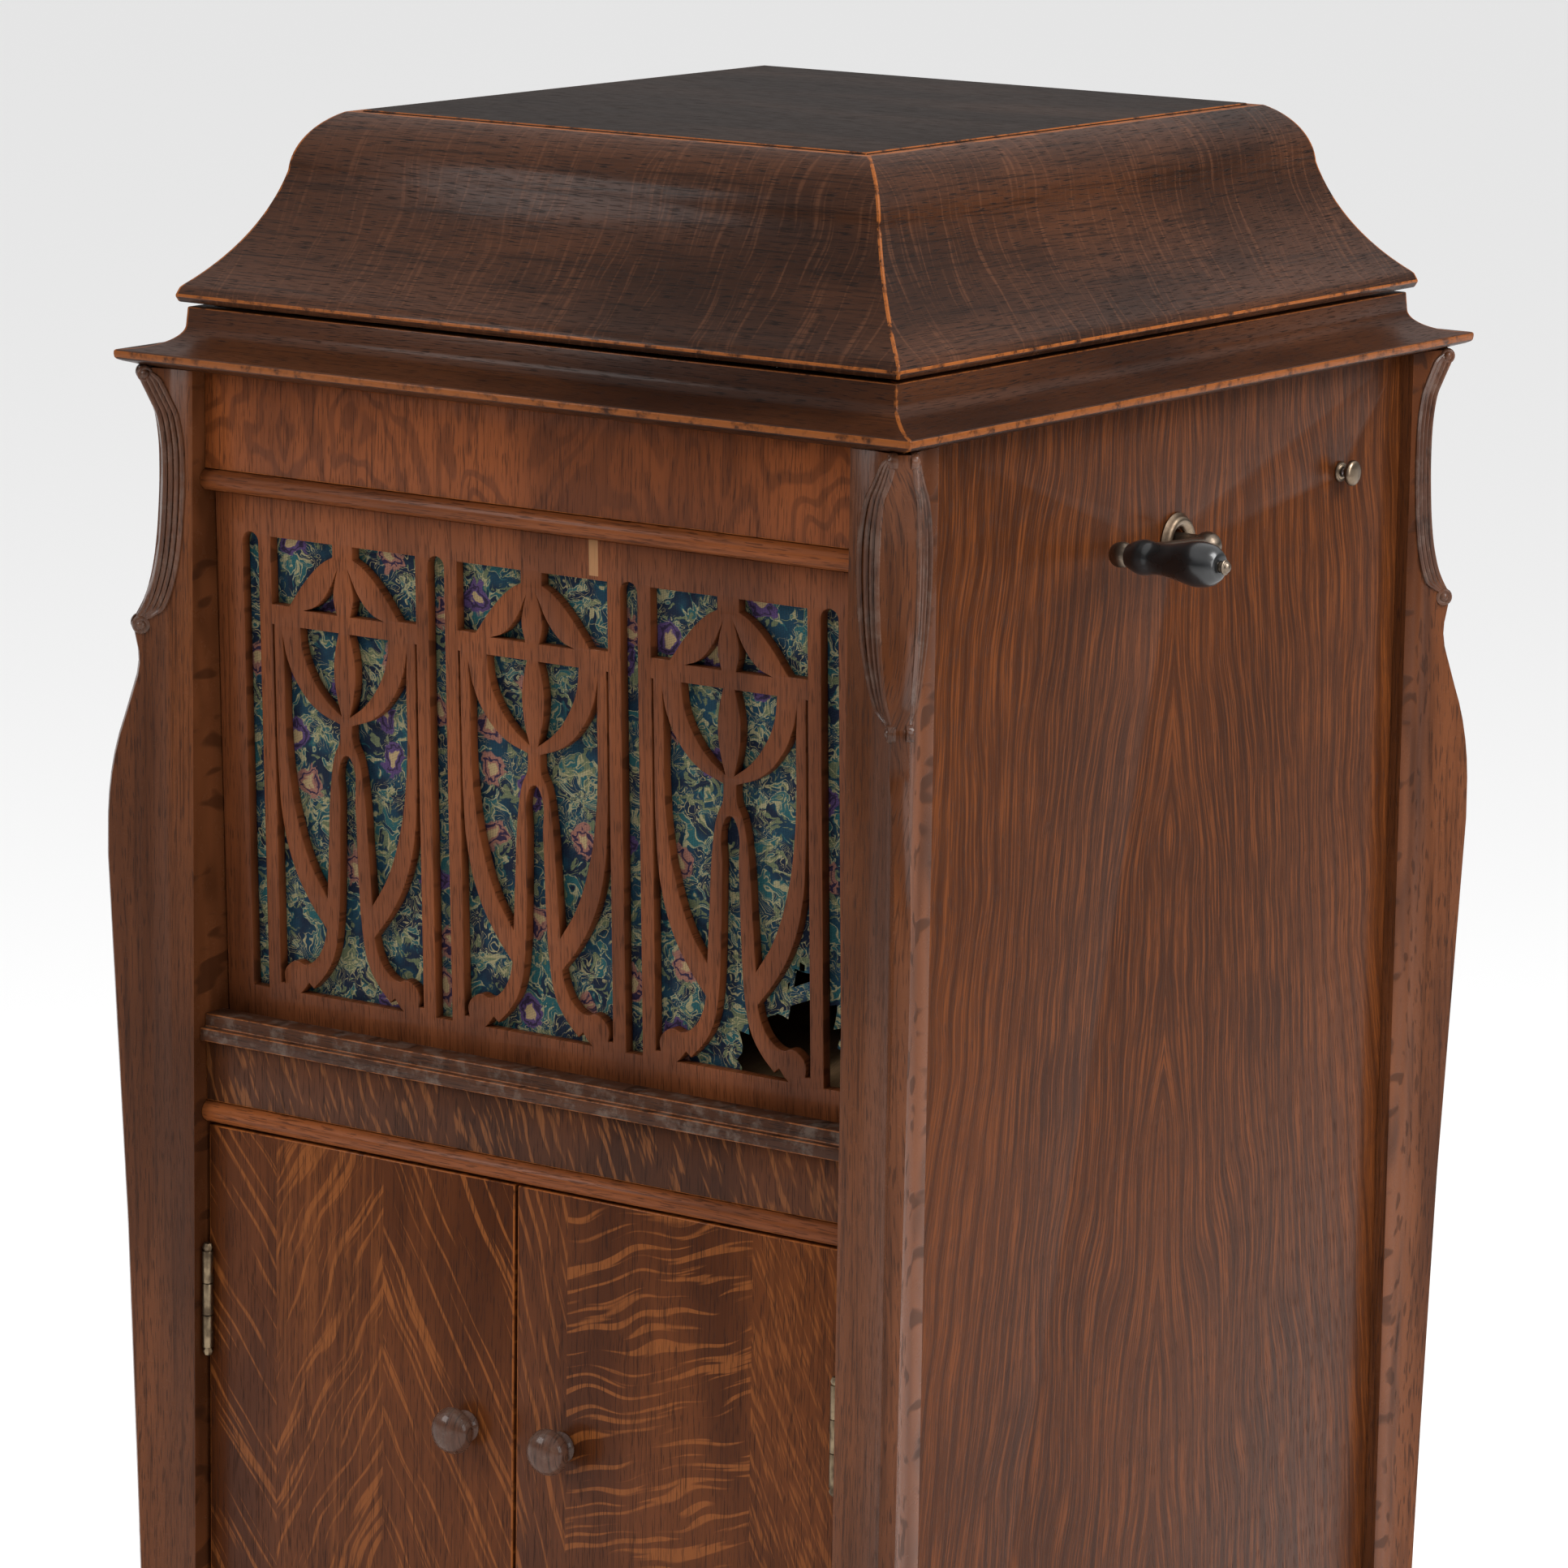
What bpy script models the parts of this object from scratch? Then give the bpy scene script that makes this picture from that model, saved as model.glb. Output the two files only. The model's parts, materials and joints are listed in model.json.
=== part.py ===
"""Floor-standing wind-up phonograph: an oak cabinet with an ogee lid, a removable fret grille over an
internal horn, a record cupboard below, and a spring motor that is wound by the crank on the right side.

All sizes are millimetres until a helper turns them into Blender's metres. +Z is up, the front faces -Y and
the crank is on the +X side. The cabinet is drawn about its own centre line on the floor. One empty then
carries everything sideways, so that the world origin is under the middle of the outline, crank included.
"""
import math

import bmesh
import bpy
from mathutils import Matrix, Vector

MM = 0.001

# ------------------------------------------------------------------ driving dimensions
TIP_Z = 1108.0          # sharp edge of the cornice above the floor
HALF_W = 285.0          # cabinet centre to the cornice's side edge
HALF_D = 308.0          # cabinet centre to the cornice's front edge
GAP = 0.3               # air between two pieces that touch
SOFFIT_DROP = 7.5       # underside of the cornice below its edge

STILE_INSET = 14.0      # outer faces of the corner posts, in from the cornice's edge
POST_SIDE = 35.0        # the square block of a corner post
PANEL_INSET = 22.0      # outer faces of the side panels
PANEL_T = 18.0          # thickness of the side panels
FRONT_INSET = 25.0      # plane of the friezes and doors
FRONT_T = 20.0          # thickness of the front rails and friezes
DOOR_T = 18.0
BACK_T = 12.0
CLEAT_W, CLEAT_H = 16.0, 18.0  # strips under the motor board
CLEAT_SHORT = 30.0      # each end of a cleat, short of the board's

COVE_R = 44.0           # hollow between a post's flat and its fin
FIN_T = 9.0             # thickness of the fin's outer edge

UPPER_BEAD_DROP = 66.5  # top of the upper bead below the cornice's edge
BEAD_H = 13.0
GRILLE_H = 317.5        # opening for the grille, from the upper bead to the ledge
LEDGE_H = 16.0
LOWER_FRIEZE_H = 38.0
DOOR_BOTTOM = 70.0      # lower edge of the doors above the floor
SKIRT_BOTTOM = 30.0     # lower edge of the panels and the bottom rail
BOARD_T = 12.0          # horizontal boards inside
FLOOR_T = 18.0

GRILLE_T = 7.0          # fret panel
GRILLE_TOP_INSET = 34.0  # its face at the top, in from the cornice's edge
GRILLE_FOOT_INSET = 46.0  # and at the foot, so that it leans
GROOVE_DEPTH = 7.0      # groove behind the ledge that the panel stands in
CLOTH_T = 1.5
SLOT_W = 12.0           # tall slots beside each fret motif
BAR_W = 9.3             # straight bars between slots and motifs
MOTIF_COUNT = 3

LID_LIFT = 30.4         # underside of the lid above the cornice's edge
LID_TOP = 142.5         # flat of the lid above the cornice's edge
LID_FLAT_INSET = 97.0
LID_PANEL_INSET = 104.0
LID_WALL_INSET = 42.0   # inner faces of the lid and of the cornice
CORNICE_TOP = 27.5
CORNICE_COVE = (30.3, 17.3, 29.5, 14.9)  # inset and height of its top, and how far it runs out and down
LID_HINGE_X = 150.0      # middle of each lid hinge, from the cabinet's centre
LID_HINGE_L = 60.0
LID_PLATE_T = 13.7       # loose panel in the lid's flat
LID_PLATE_PROUD = 1.2
LID_OPEN = 75.0         # degrees
STAY_PIVOT = (205.0, 10.0)  # lid stay's pivot: y, and height above the cornice's edge
STAY_STUD = (60.0, 32.0)    # stud on the closed lid
STAY_OFF_WALL = 11.0
STAY_T = 2.0

TABLE_R = 152.4         # 12 inch turntable
TABLE_X = -25.0         # spindle, from the cabinet's centre
TABLE_Y = -5.0
TABLE_RISE = 16.0       # underside of the turntable above the motor board
TABLE_H = 14.0
FELT_T = 2.0
SPINDLE_R = 3.6
MOTOR_BOARD_DROP = 12.0  # top of the motor board below the cornice's edge
MOTOR_BOARD_T = 13.0

ARM_FROM_SIDE = 127.0   # tonearm pivot, in from the inner side wall and the inner back wall
ARM_FROM_BACK = 71.0
ARM_Z = 52.0            # centre line of the tonearm above the cornice's edge
ARM_JOINT_BACK = 70.0   # swivel of the sound box, back from the needle
BOX_R = 25.0            # sound box
THROAT_R = 24.0         # bore of the throat under the tonearm
THROAT_WALL = 4.0
THROAT_BEND = 62.0      # bend radius of the throat's elbow
THROAT_FLOOR = 301.0    # centre line of the horn's small end below the cornice's edge

BRACKET_H = 32.0         # seat of the tonearm above the motor board
BRACKET_FLANGE_R = 36.0

CRANK_Y = 2.0
CRANK_DROP = 93.3       # crank shaft below the cornice's edge
CRANK_ARM = 107.4
CRANK_RAISE = 4.8       # degrees that the arm points above straight ahead
CRANK_SHAFT_R = 6.0
CRANK_STANDOFF = 22.0   # crank arm out from the side panel, at the shaft
CRANK_LEAN = 9.0        # and this much further out at the grip, so that it swings clear of the cornice
HANDLE_L = 65.0
TONE_DROP = 73.0        # tone rod below the cornice's edge
TONE_ROD_R = 2.5
TONE_STANDOFF = 12.0

HINGE_H = 60.0          # door hinge barrel without its ball tips
HINGE_R = 3.4
HINGE_FROM_END = 78.0   # end of the door to the nearer end of a hinge
DOOR_SIDE_GAP = 2.6
DOOR_MID_GAP = 2.4
KNOB_FROM_MID = 35.3
KNOB_DROP = 152.0       # below the top of the doors
BAY_COUNT = 4           # record bays side by side
DIVIDER_T = 6.0

# spring motor
BARREL_X = 63.0         # spring barrel, to the right of the spindle
BARREL_R = 36.0
GREAT_TEETH, GREAT_MODULE = 36, 2.4
PINION_TEETH = 8
WHEEL_TEETH, WHEEL_MODULE = 32, 1.8
SPINDLE_TEETH = 9
WORM_WHEEL_R = 16.0
WORM_R = 4.2
BEVEL_TEETH, BEVEL_PINION_TEETH, BEVEL_MODULE = 24, 12, 2.0
BEVEL_FACE = 8.0
BEVEL_FILL = 0.30       # share of the pitch that a bevel tooth fills

# ------------------------------------------------------------------ places worked out from them
SOFFIT = TIP_Z - SOFFIT_DROP
CABINET_TOP = SOFFIT - GAP
STILE_X = HALF_W - STILE_INSET
STILE_Y = HALF_D - STILE_INSET
OPEN_X = STILE_X - POST_SIDE            # openings between the posts
OPEN_Y = STILE_Y - POST_SIDE
PANEL_OUT = HALF_W - PANEL_INSET
PANEL_IN = PANEL_OUT - PANEL_T
FRONT_Y = -(HALF_D - FRONT_INSET)
FRONT_BACK_Y = FRONT_Y + FRONT_T
INNER_Y = OPEN_Y - GAP                  # reach of the boards, front and back
UPPER_BEAD_TOP = TIP_Z - UPPER_BEAD_DROP
GRILLE_TOP = UPPER_BEAD_TOP - BEAD_H
LEDGE_TOP = GRILLE_TOP - GRILLE_H
LEDGE_BOTTOM = LEDGE_TOP - LEDGE_H
LOWER_BEAD_TOP = LEDGE_BOTTOM - LOWER_FRIEZE_H
DOOR_TOP = LOWER_BEAD_TOP - BEAD_H - 1.5
DOOR_Y = FRONT_Y
FLOOR_TOP = DOOR_BOTTOM - 4.0
MOTOR_BOARD_TOP = TIP_Z - MOTOR_BOARD_DROP
MOTOR_BOARD_LOW = MOTOR_BOARD_TOP - MOTOR_BOARD_T
TABLE_LOW = MOTOR_BOARD_TOP + TABLE_RISE
TABLE_TOP = TABLE_LOW + TABLE_H
ARM_X = PANEL_IN - ARM_FROM_SIDE
ARM_Y = OPEN_Y - ARM_FROM_BACK
ARM_HEIGHT = TIP_Z + ARM_Z
ARM_REACH = math.hypot(ARM_X - TABLE_X, ARM_Y - TABLE_Y) + 3.0
CRANK_Z = TIP_Z - CRANK_DROP
HANDLE_X = PANEL_OUT + CRANK_STANDOFF + CRANK_LEAN + 4.0
HANDLE_END = HANDLE_X + HANDLE_L
FIN_KNEE = 4.2          # reach of the fin's knee beyond the cornice's corner
FIN_OUT = (FIN_KNEE + FIN_T / 2) / math.sqrt(2)
LID_HINGE_Y = HALF_D - 21.0
LID_HINGE_Z = TIP_Z + (CORNICE_TOP + LID_LIFT) / 2

MATERIALS = {
    "oak": ((0.16, 0.065, 0.028), 0.35, 0.0),
    "oak_dark": ((0.05, 0.022, 0.012), 0.4, 0.0),
    "pine": ((0.35, 0.22, 0.12), 0.7, 0.0),
    "cloth": ((0.06, 0.11, 0.13), 0.95, 0.0),
    "felt": ((0.05, 0.12, 0.07), 1.0, 0.0),
    "brass": ((0.55, 0.42, 0.22), 0.35, 1.0),
    "nickel": ((0.62, 0.59, 0.54), 0.3, 1.0),
    "steel": ((0.35, 0.35, 0.36), 0.4, 1.0),
    "cast_iron": ((0.05, 0.05, 0.05), 0.6, 0.6),
    "black_grip": ((0.01, 0.01, 0.01), 0.12, 0.0),
}


# ------------------------------------------------------------------ workshop
def collection(name):
    made = bpy.data.collections.new(name)
    bpy.context.scene.collection.children.link(made)
    return made


for old in list(bpy.data.objects):
    bpy.data.objects.remove(old)
PARTS = collection("wind_up_phonograph")
CUTTERS = collection("cutters")

CARRIER = bpy.data.objects.new("cabinet_centre", None)
CARRIER.location.x = -(HANDLE_END + 3.0 - HALF_W - FIN_OUT) / 2 * MM
PARTS.objects.link(CARRIER)


def material(name):
    found = bpy.data.materials.get(name)
    if found:
        return found
    colour, roughness, metallic = MATERIALS[name]
    made = bpy.data.materials.new(name)
    made.use_nodes = True
    shader = made.node_tree.nodes["Principled BSDF"]
    shader.inputs["Base Color"].default_value = (*colour, 1.0)
    shader.inputs["Roughness"].default_value = roughness
    shader.inputs["Metallic"].default_value = metallic
    return made


def add(name, mesh, finish, origin=(0, 0, 0), turn=None):
    """Puts a mesh in the model; its origin is where it pivots, in cabinet millimetres."""
    made = bpy.data.objects.new(name, mesh)
    made.parent = CARRIER
    made.location = Vector(origin) * MM
    if turn:
        made.rotation_euler = [math.radians(a) for a in turn]
    if not mesh.materials:
        mesh.materials.append(material(finish))
    PARTS.objects.link(made)
    return made


def boolean(target, tool, operation="DIFFERENCE"):
    """Cuts, joins or trims target with tool, and puts the tool away with the cutters."""
    PARTS.objects.unlink(tool)
    CUTTERS.objects.link(tool)
    tool.hide_render = True
    tool.display_type = "WIRE"
    step = target.modifiers.new(operation.lower(), "BOOLEAN")
    step.operation = operation
    step.solver = "EXACT"
    step.object = tool
    return target


def box(name, low, high, finish, origin=None):
    """A board between two corners; its origin is its middle unless a pivot is given."""
    low, high = Vector(low), Vector(high)
    middle = (low + high) / 2
    origin = middle if origin is None else Vector(origin)
    bm = bmesh.new()
    bmesh.ops.create_cube(bm, size=1.0)
    bmesh.ops.scale(bm, vec=(high - low) * MM, verts=bm.verts)
    bmesh.ops.translate(bm, vec=(middle - origin) * MM, verts=bm.verts)
    mesh = bpy.data.meshes.new(name)
    bm.to_mesh(mesh)
    bm.free()
    return add(name, mesh, finish, origin)


PLANES = {
    "XY": Matrix.Identity(4),
    "XZ": Matrix.Rotation(math.radians(90), 4, "X"),
    "YZ": Matrix.Rotation(math.radians(90), 4, "Z") @ Matrix.Rotation(math.radians(90), 4, "X"),
}


def plate(name, loops, thickness, finish, plane="XY", origin=(0, 0, 0), resolution=3, turn=None):
    """A flat outline with its holes, thickened about its own plane.

    Each loop is a list of points: (a, b) for a corner, or (a, b, "s") where the outline runs smooth.
    """
    curve = bpy.data.curves.new(name, "CURVE")
    curve.dimensions = "2D"
    curve.fill_mode = "BOTH"
    curve.extrude = thickness / 2 * MM
    curve.resolution_u = resolution
    for loop in loops:
        smooth = any(len(point) > 2 for point in loop)
        spline = curve.splines.new("BEZIER" if smooth else "POLY")
        spline.use_cyclic_u = True
        points = spline.bezier_points if smooth else spline.points
        points.add(len(loop) - 1)
        for knot, point in zip(points, loop):
            place = (point[0] * MM, point[1] * MM, 0.0)
            if smooth:
                knot.co = place
                kind = "AUTO" if len(point) > 2 else "VECTOR"
                knot.handle_left_type = knot.handle_right_type = kind
            else:
                knot.co = (*place, 1.0)
    flat = bpy.data.objects.new(name, curve)
    bpy.context.scene.collection.objects.link(flat)
    mesh = bpy.data.meshes.new_from_object(flat.evaluated_get(bpy.context.evaluated_depsgraph_get()))
    bpy.data.objects.remove(flat)
    bpy.data.curves.remove(curve)
    mesh.name = name
    bm = bmesh.new()
    bm.from_mesh(mesh)
    bmesh.ops.remove_doubles(bm, verts=bm.verts, dist=1e-6)
    bmesh.ops.transform(bm, matrix=PLANES[plane], verts=bm.verts)
    bmesh.ops.recalc_face_normals(bm, faces=bm.faces)
    bm.to_mesh(mesh)
    bm.free()
    mesh.materials.clear()
    return add(name, mesh, finish, origin, turn)


def turned(name, profile, finish, origin=(0, 0, 0), turn=None, steps=24):
    """A lathe shape: (radius, height) points down the outer side, round the piece's own Z."""
    mesh = bpy.data.meshes.new(name)
    closed = profile[0][0] > 0
    edges = [(i, i + 1) for i in range(len(profile) - 1)]
    if closed:
        edges.append((len(profile) - 1, 0))
    mesh.from_pydata([(r * MM, 0.0, h * MM) for r, h in profile], edges, [])
    made = add(name, mesh, finish, origin, turn)
    screw = made.modifiers.new("turn", "SCREW")
    screw.steps = screw.render_steps = steps
    screw.use_merge_vertices = True
    screw.merge_threshold = 1e-6
    screw.use_smooth_shade = True
    return made


def rod(name, start, end, radius, finish, steps=16, origin=None):
    """A plain round bar between two points."""
    start, end = Vector(start), Vector(end)
    middle = (start + end) / 2
    origin = middle if origin is None else Vector(origin)
    bm = bmesh.new()
    turn = (end - start).to_track_quat("Z", "Y").to_matrix().to_4x4()
    place = Matrix.Translation((middle - origin) * MM) @ turn
    bmesh.ops.create_cone(bm, cap_ends=True, segments=steps, radius1=radius * MM, radius2=radius * MM,
                          depth=(end - start).length * MM, matrix=place)
    mesh = bpy.data.meshes.new(name)
    bm.to_mesh(mesh)
    bm.free()
    mesh.shade_smooth()
    mesh.set_sharp_from_angle(angle=math.radians(40))
    return add(name, mesh, finish, origin)


def ball(name, centre, radius, finish, origin=None, segments=12):
    centre = Vector(centre)
    origin = centre if origin is None else Vector(origin)
    bm = bmesh.new()
    bmesh.ops.create_uvsphere(bm, u_segments=segments, v_segments=segments // 2, radius=radius * MM,
                              matrix=Matrix.Translation((centre - origin) * MM))
    mesh = bpy.data.meshes.new(name)
    bm.to_mesh(mesh)
    bm.free()
    mesh.shade_smooth()
    return add(name, mesh, finish, origin)


def tube(name, points, radii, finish, origin=(0, 0, 0), sides=3, wall=0.0, resolution=5):
    """A bent pipe through the points, each with its own outer radius; a wall makes it hollow."""
    curve = bpy.data.curves.new(name, "CURVE")
    curve.dimensions = "3D"
    curve.bevel_depth = MM
    curve.bevel_resolution = sides
    curve.resolution_u = resolution
    curve.use_fill_caps = wall == 0
    spline = curve.splines.new("BEZIER")
    spline.bezier_points.add(len(points) - 1)
    for knot, point, radius in zip(spline.bezier_points, points, radii):
        knot.co = Vector(point) * MM
        knot.handle_left_type = knot.handle_right_type = "AUTO"
        knot.radius = radius
    bent = bpy.data.objects.new(name, curve)
    bpy.context.scene.collection.objects.link(bent)
    mesh = bpy.data.meshes.new_from_object(bent.evaluated_get(bpy.context.evaluated_depsgraph_get()))
    bpy.data.objects.remove(bent)
    bpy.data.curves.remove(curve)
    mesh.name = name
    bm = bmesh.new()
    bm.from_mesh(mesh)
    bmesh.ops.remove_doubles(bm, verts=bm.verts, dist=1e-6)
    bmesh.ops.recalc_face_normals(bm, faces=bm.faces)
    bm.to_mesh(mesh)
    bm.free()
    mesh.materials.clear()
    made = add(name, mesh, finish, origin)
    if wall:
        shell = made.modifiers.new("wall", "SOLIDIFY")
        shell.thickness = wall * MM
        shell.offset = -1.0
        shell.use_even_offset = True
    return made


def arc(start, end, rise, steps=6):
    """Points on a circle's arc from start to end that bows to the left of the way by rise."""
    ax, ay = start
    bx, by = end
    half = math.hypot(bx - ax, by - ay) / 2
    radius = (half * half + rise * rise) / (2 * rise)
    ux, uy = (bx - ax) / (2 * half), (by - ay) / (2 * half)
    cx = (ax + bx) / 2 + uy * (radius - rise)
    cy = (ay + by) / 2 - ux * (radius - rise)
    first = math.atan2(ay - cy, ax - cx)
    sweep = (math.atan2(by - cy, bx - cx) - first + math.pi) % (2 * math.pi) - math.pi
    return [(cx + abs(radius) * math.cos(first + sweep * i / steps),
             cy + abs(radius) * math.sin(first + sweep * i / steps)) for i in range(steps + 1)]


def circle(radius, steps=24, centre=(0.0, 0.0)):
    return [(centre[0] + radius * math.cos(2 * math.pi * i / steps),
             centre[1] + radius * math.sin(2 * math.pi * i / steps)) for i in range(steps)]


def mitred_frame(name, section, finish, origin=(0, 0, 0)):
    """A moulding mitred round the cabinet: (inset from the cornice's edge, height) points, closed."""
    bm = bmesh.new()
    corner = [bm.verts.new(((HALF_W - inset) * MM, (HALF_W - inset) * MM, height * MM))
              for inset, height in section]
    edges = [bm.edges.new((corner[i - 1], corner[i])) for i in range(len(corner))]
    bmesh.ops.spin(bm, geom=corner + edges, cent=(0, 0, 0), axis=(0, 0, 1), angle=2 * math.pi, steps=4,
                   use_merge=True, use_duplicate=False)
    bmesh.ops.remove_doubles(bm, verts=bm.verts, dist=1e-6)
    for vert in bm.verts:
        vert.co.y += math.copysign((HALF_D - HALF_W) * MM, vert.co.y)
    bmesh.ops.translate(bm, vec=-Vector(origin) * MM, verts=bm.verts)
    bmesh.ops.recalc_face_normals(bm, faces=bm.faces)
    mesh = bpy.data.meshes.new(name)
    bm.to_mesh(mesh)
    bm.free()
    return add(name, mesh, finish, origin)


# ------------------------------------------------------------------ cabinet
def fin_outline():
    """Side view of a post along its diagonal: (reach from the cornice's corner, height) from top to foot.

    Drops are measured down from the cornice's edge: a hollow below the top scroll, the lower scroll's bead,
    a knee, and a long taper to a small flared toe.
    """
    top = TIP_Z
    points = [(-15, CABINET_TOP + 5), (-15.2, top - 14), (-21, top - 26, "s"), (-27, top - 45, "s"),
              (-28, top - 85, "s"), (-24, top - 128, "s"), (-17, top - 150, "s"), (-11.5, top - 160),
              (-11.8, top - 166), (-14.6, top - 185, "s"), (-9, top - 208, "s"), (0, top - 240, "s"),
              (FIN_KNEE, top - 277, "s"), (2, top - 350, "s"), (-6.5, top - 530, "s"), (-13, top - 745, "s"),
              (-18, 130, "s"), (-17, 80, "s"), (-8, 26, "s"), (-8, 0), (-8, -5)]
    return points + [(-90, -5), (-90, CABINET_TOP + 5)]


def posts():
    inner = -STILE_INSET - POST_SIDE
    cove_start = -STILE_INSET - FIN_T / math.sqrt(2) - COVE_R * (math.sqrt(2) - 1)
    centre_y = -STILE_INSET + COVE_R
    cove = [(cove_start + COVE_R * math.sin(a), centre_y - COVE_R * math.cos(a))
            for a in (math.radians(45 * i / 6) for i in range(7))]
    reach = 2 * FIN_KNEE
    edge = (cove[-1][0] + reach, cove[-1][1] + reach)
    side = [(inner, -STILE_INSET)] + cove + [edge]
    plan = [(inner, inner)] + [(y, x) for x, y in side] + side[::-1]
    blank = plate("post_plan", [plan], CABINET_TOP, "oak", "XY", (0, 0, CABINET_TOP / 2))
    shape = plate("post_side", [fin_outline()], 160.0, "oak", "XZ", (0, 0, 0), resolution=3, turn=(0, 0, 45))
    boolean(blank, shape, "INTERSECT")
    bpy.context.view_layer.update()
    mesh = bpy.data.meshes.new_from_object(blank.evaluated_get(bpy.context.evaluated_depsgraph_get()))
    bpy.data.objects.remove(blank)
    bpy.data.objects.remove(shape)
    mesh.name = "corner_post"
    for name, sx, sy, angle in (("post_front_right", 1, -1, -90), ("post_front_left", -1, -1, 180),
                                ("post_back_right", 1, 1, 0), ("post_back_left", -1, 1, 90)):
        add(name, mesh, "oak", (sx * HALF_W, sy * HALF_D, CABINET_TOP / 2), (0, 0, angle))


def bead_section(top):
    """Half-round nosing on a square back, as (y, z)."""
    middle, radius = top - BEAD_H / 2, BEAD_H / 2
    nose = [(FRONT_Y + 2 - radius * math.sin(a), middle + radius * math.cos(a))
            for a in (math.pi * i / 8 for i in range(9))]
    return nose + [(FRONT_BACK_Y, top - BEAD_H), (FRONT_BACK_Y, top)]


def front_rail(name, section, finish="oak"):
    plate(name, [section], 2 * (OPEN_X - GAP), finish, "YZ")


def carcase():
    posts()
    for side, name in ((-1, "side_panel_left"), (1, "side_panel_right")):
        inner, outer = sorted((side * PANEL_IN, side * PANEL_OUT))
        panel = box(name, (inner, -INNER_Y, SKIRT_BOTTOM), (outer, INNER_Y, CABINET_TOP), "oak")
        if side > 0:
            for y, z, radius in ((CRANK_Y, CRANK_Z, CRANK_SHAFT_R + 2.0),
                                 (ARM_Y, TIP_Z - TONE_DROP, TONE_ROD_R + 0.9)):
                boolean(panel, rod("panel_hole", (inner - 5, y, z), (outer + 5, y, z), radius, "oak"))
        cleat_in, cleat_out = sorted((side * (PANEL_IN - CLEAT_W), side * (PANEL_IN + 1)))
        cleat_y = INNER_Y - CLEAT_SHORT
        boolean(panel, box("cleat", (cleat_in, -cleat_y, MOTOR_BOARD_LOW - CLEAT_H),
                           (cleat_out, cleat_y, MOTOR_BOARD_LOW - GAP), "oak"), "UNION")
    back = FRONT_INSET
    box("back_panel", (-OPEN_X + GAP, HALF_D - back - BACK_T, SKIRT_BOTTOM),
        (OPEN_X - GAP, HALF_D - back, CABINET_TOP), "oak")
    inset, top, width, depth = CORNICE_COVE
    cove = [(inset - width * (1 - math.cos(a)), top - depth * math.sin(a))
            for a in (math.radians(15 * i) for i in range(7))]
    section = [(LID_WALL_INSET, CORNICE_TOP), (inset + 0.7, CORNICE_TOP)] + cove + [
        (0, 0), (0.8, -3), (3.6, -4.4), (STILE_INSET, -SOFFIT_DROP), (LID_WALL_INSET, -SOFFIT_DROP)]
    mitred_frame("cornice", [(inset, TIP_Z + height) for inset, height in section], "oak_dark")

    front_rail("upper_frieze", [(FRONT_Y, UPPER_BEAD_TOP + GAP), (FRONT_BACK_Y, UPPER_BEAD_TOP + GAP),
                                (FRONT_BACK_Y, CABINET_TOP), (FRONT_Y, CABINET_TOP)])
    front_rail("upper_bead", bead_section(UPPER_BEAD_TOP))
    step = LEDGE_TOP - 8
    nose, foot = FRONT_Y - 6, -(HALF_D - GRILLE_FOOT_INSET)
    groove = foot - 4.8
    front_rail("grille_ledge", [(nose, LEDGE_BOTTOM), (nose, step), (nose + 5, step), (nose + 5, LEDGE_TOP),
                                (groove, LEDGE_TOP), (groove, LEDGE_TOP - GROOVE_DEPTH),
                                (foot + GRILLE_T + 5, LEDGE_TOP - GROOVE_DEPTH),
                                (foot + GRILLE_T + 5, LEDGE_BOTTOM)],
               "oak_dark")
    front_rail("lower_frieze", [(FRONT_Y, LOWER_BEAD_TOP + GAP), (FRONT_BACK_Y, LOWER_BEAD_TOP + GAP),
                                (FRONT_BACK_Y, LEDGE_BOTTOM - GAP), (FRONT_Y, LEDGE_BOTTOM - GAP)])
    front_rail("lower_bead", bead_section(LOWER_BEAD_TOP))
    box("bottom_rail", (-OPEN_X + GAP, FRONT_Y, SKIRT_BOTTOM), (OPEN_X - GAP, FRONT_BACK_Y, DOOR_BOTTOM - 2),
        "oak")


def inside_boards():
    wall = PANEL_IN - GAP
    box("cupboard_floor", (-wall, -INNER_Y, FLOOR_TOP - FLOOR_T), (wall, INNER_Y, FLOOR_TOP), "pine")
    ceiling = LOWER_BEAD_TOP
    box("cupboard_ceiling", (-wall, -INNER_Y, ceiling - BOARD_T), (wall, INNER_Y, ceiling), "pine")
    board = box("motor_board", (-wall, -INNER_Y, MOTOR_BOARD_LOW), (wall, INNER_Y, MOTOR_BOARD_TOP), "oak")
    for x, y, radius in ((TABLE_X, TABLE_Y, 9.0), (ARM_X, ARM_Y, THROAT_R + 1)):
        low, high = (x, y, MOTOR_BOARD_LOW - 5), (x, y, MOTOR_BOARD_TOP + 5)
        boolean(board, rod("board_hole", low, high, radius, "oak", 24))

    low, high = FLOOR_TOP + GAP, ceiling - BOARD_T - GAP
    half, shelf = wall - GAP, (low + high) / 2 - 30
    pitch = 2 * half / BAY_COUNT
    outline = [(-half, shelf)]
    for i in range(1, BAY_COUNT):
        x = -half + i * pitch
        outline += [(x - DIVIDER_T / 2, shelf), (x - DIVIDER_T / 2, low), (x + DIVIDER_T / 2, low),
                    (x + DIVIDER_T / 2, shelf)]
    outline += [(half, shelf), (half, shelf + DIVIDER_T + 2)]
    for i in range(BAY_COUNT - 1, 0, -1):
        x = -half + i * pitch
        outline += [(x + DIVIDER_T / 2, shelf + DIVIDER_T + 2), (x + DIVIDER_T / 2, high),
                    (x - DIVIDER_T / 2, high), (x - DIVIDER_T / 2, shelf + DIVIDER_T + 2)]
    outline += [(-half, shelf + DIVIDER_T + 2)]
    plate("record_rack", [outline], 2 * INNER_Y - 30, "pine", "XZ", (0, 5, 0))


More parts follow.
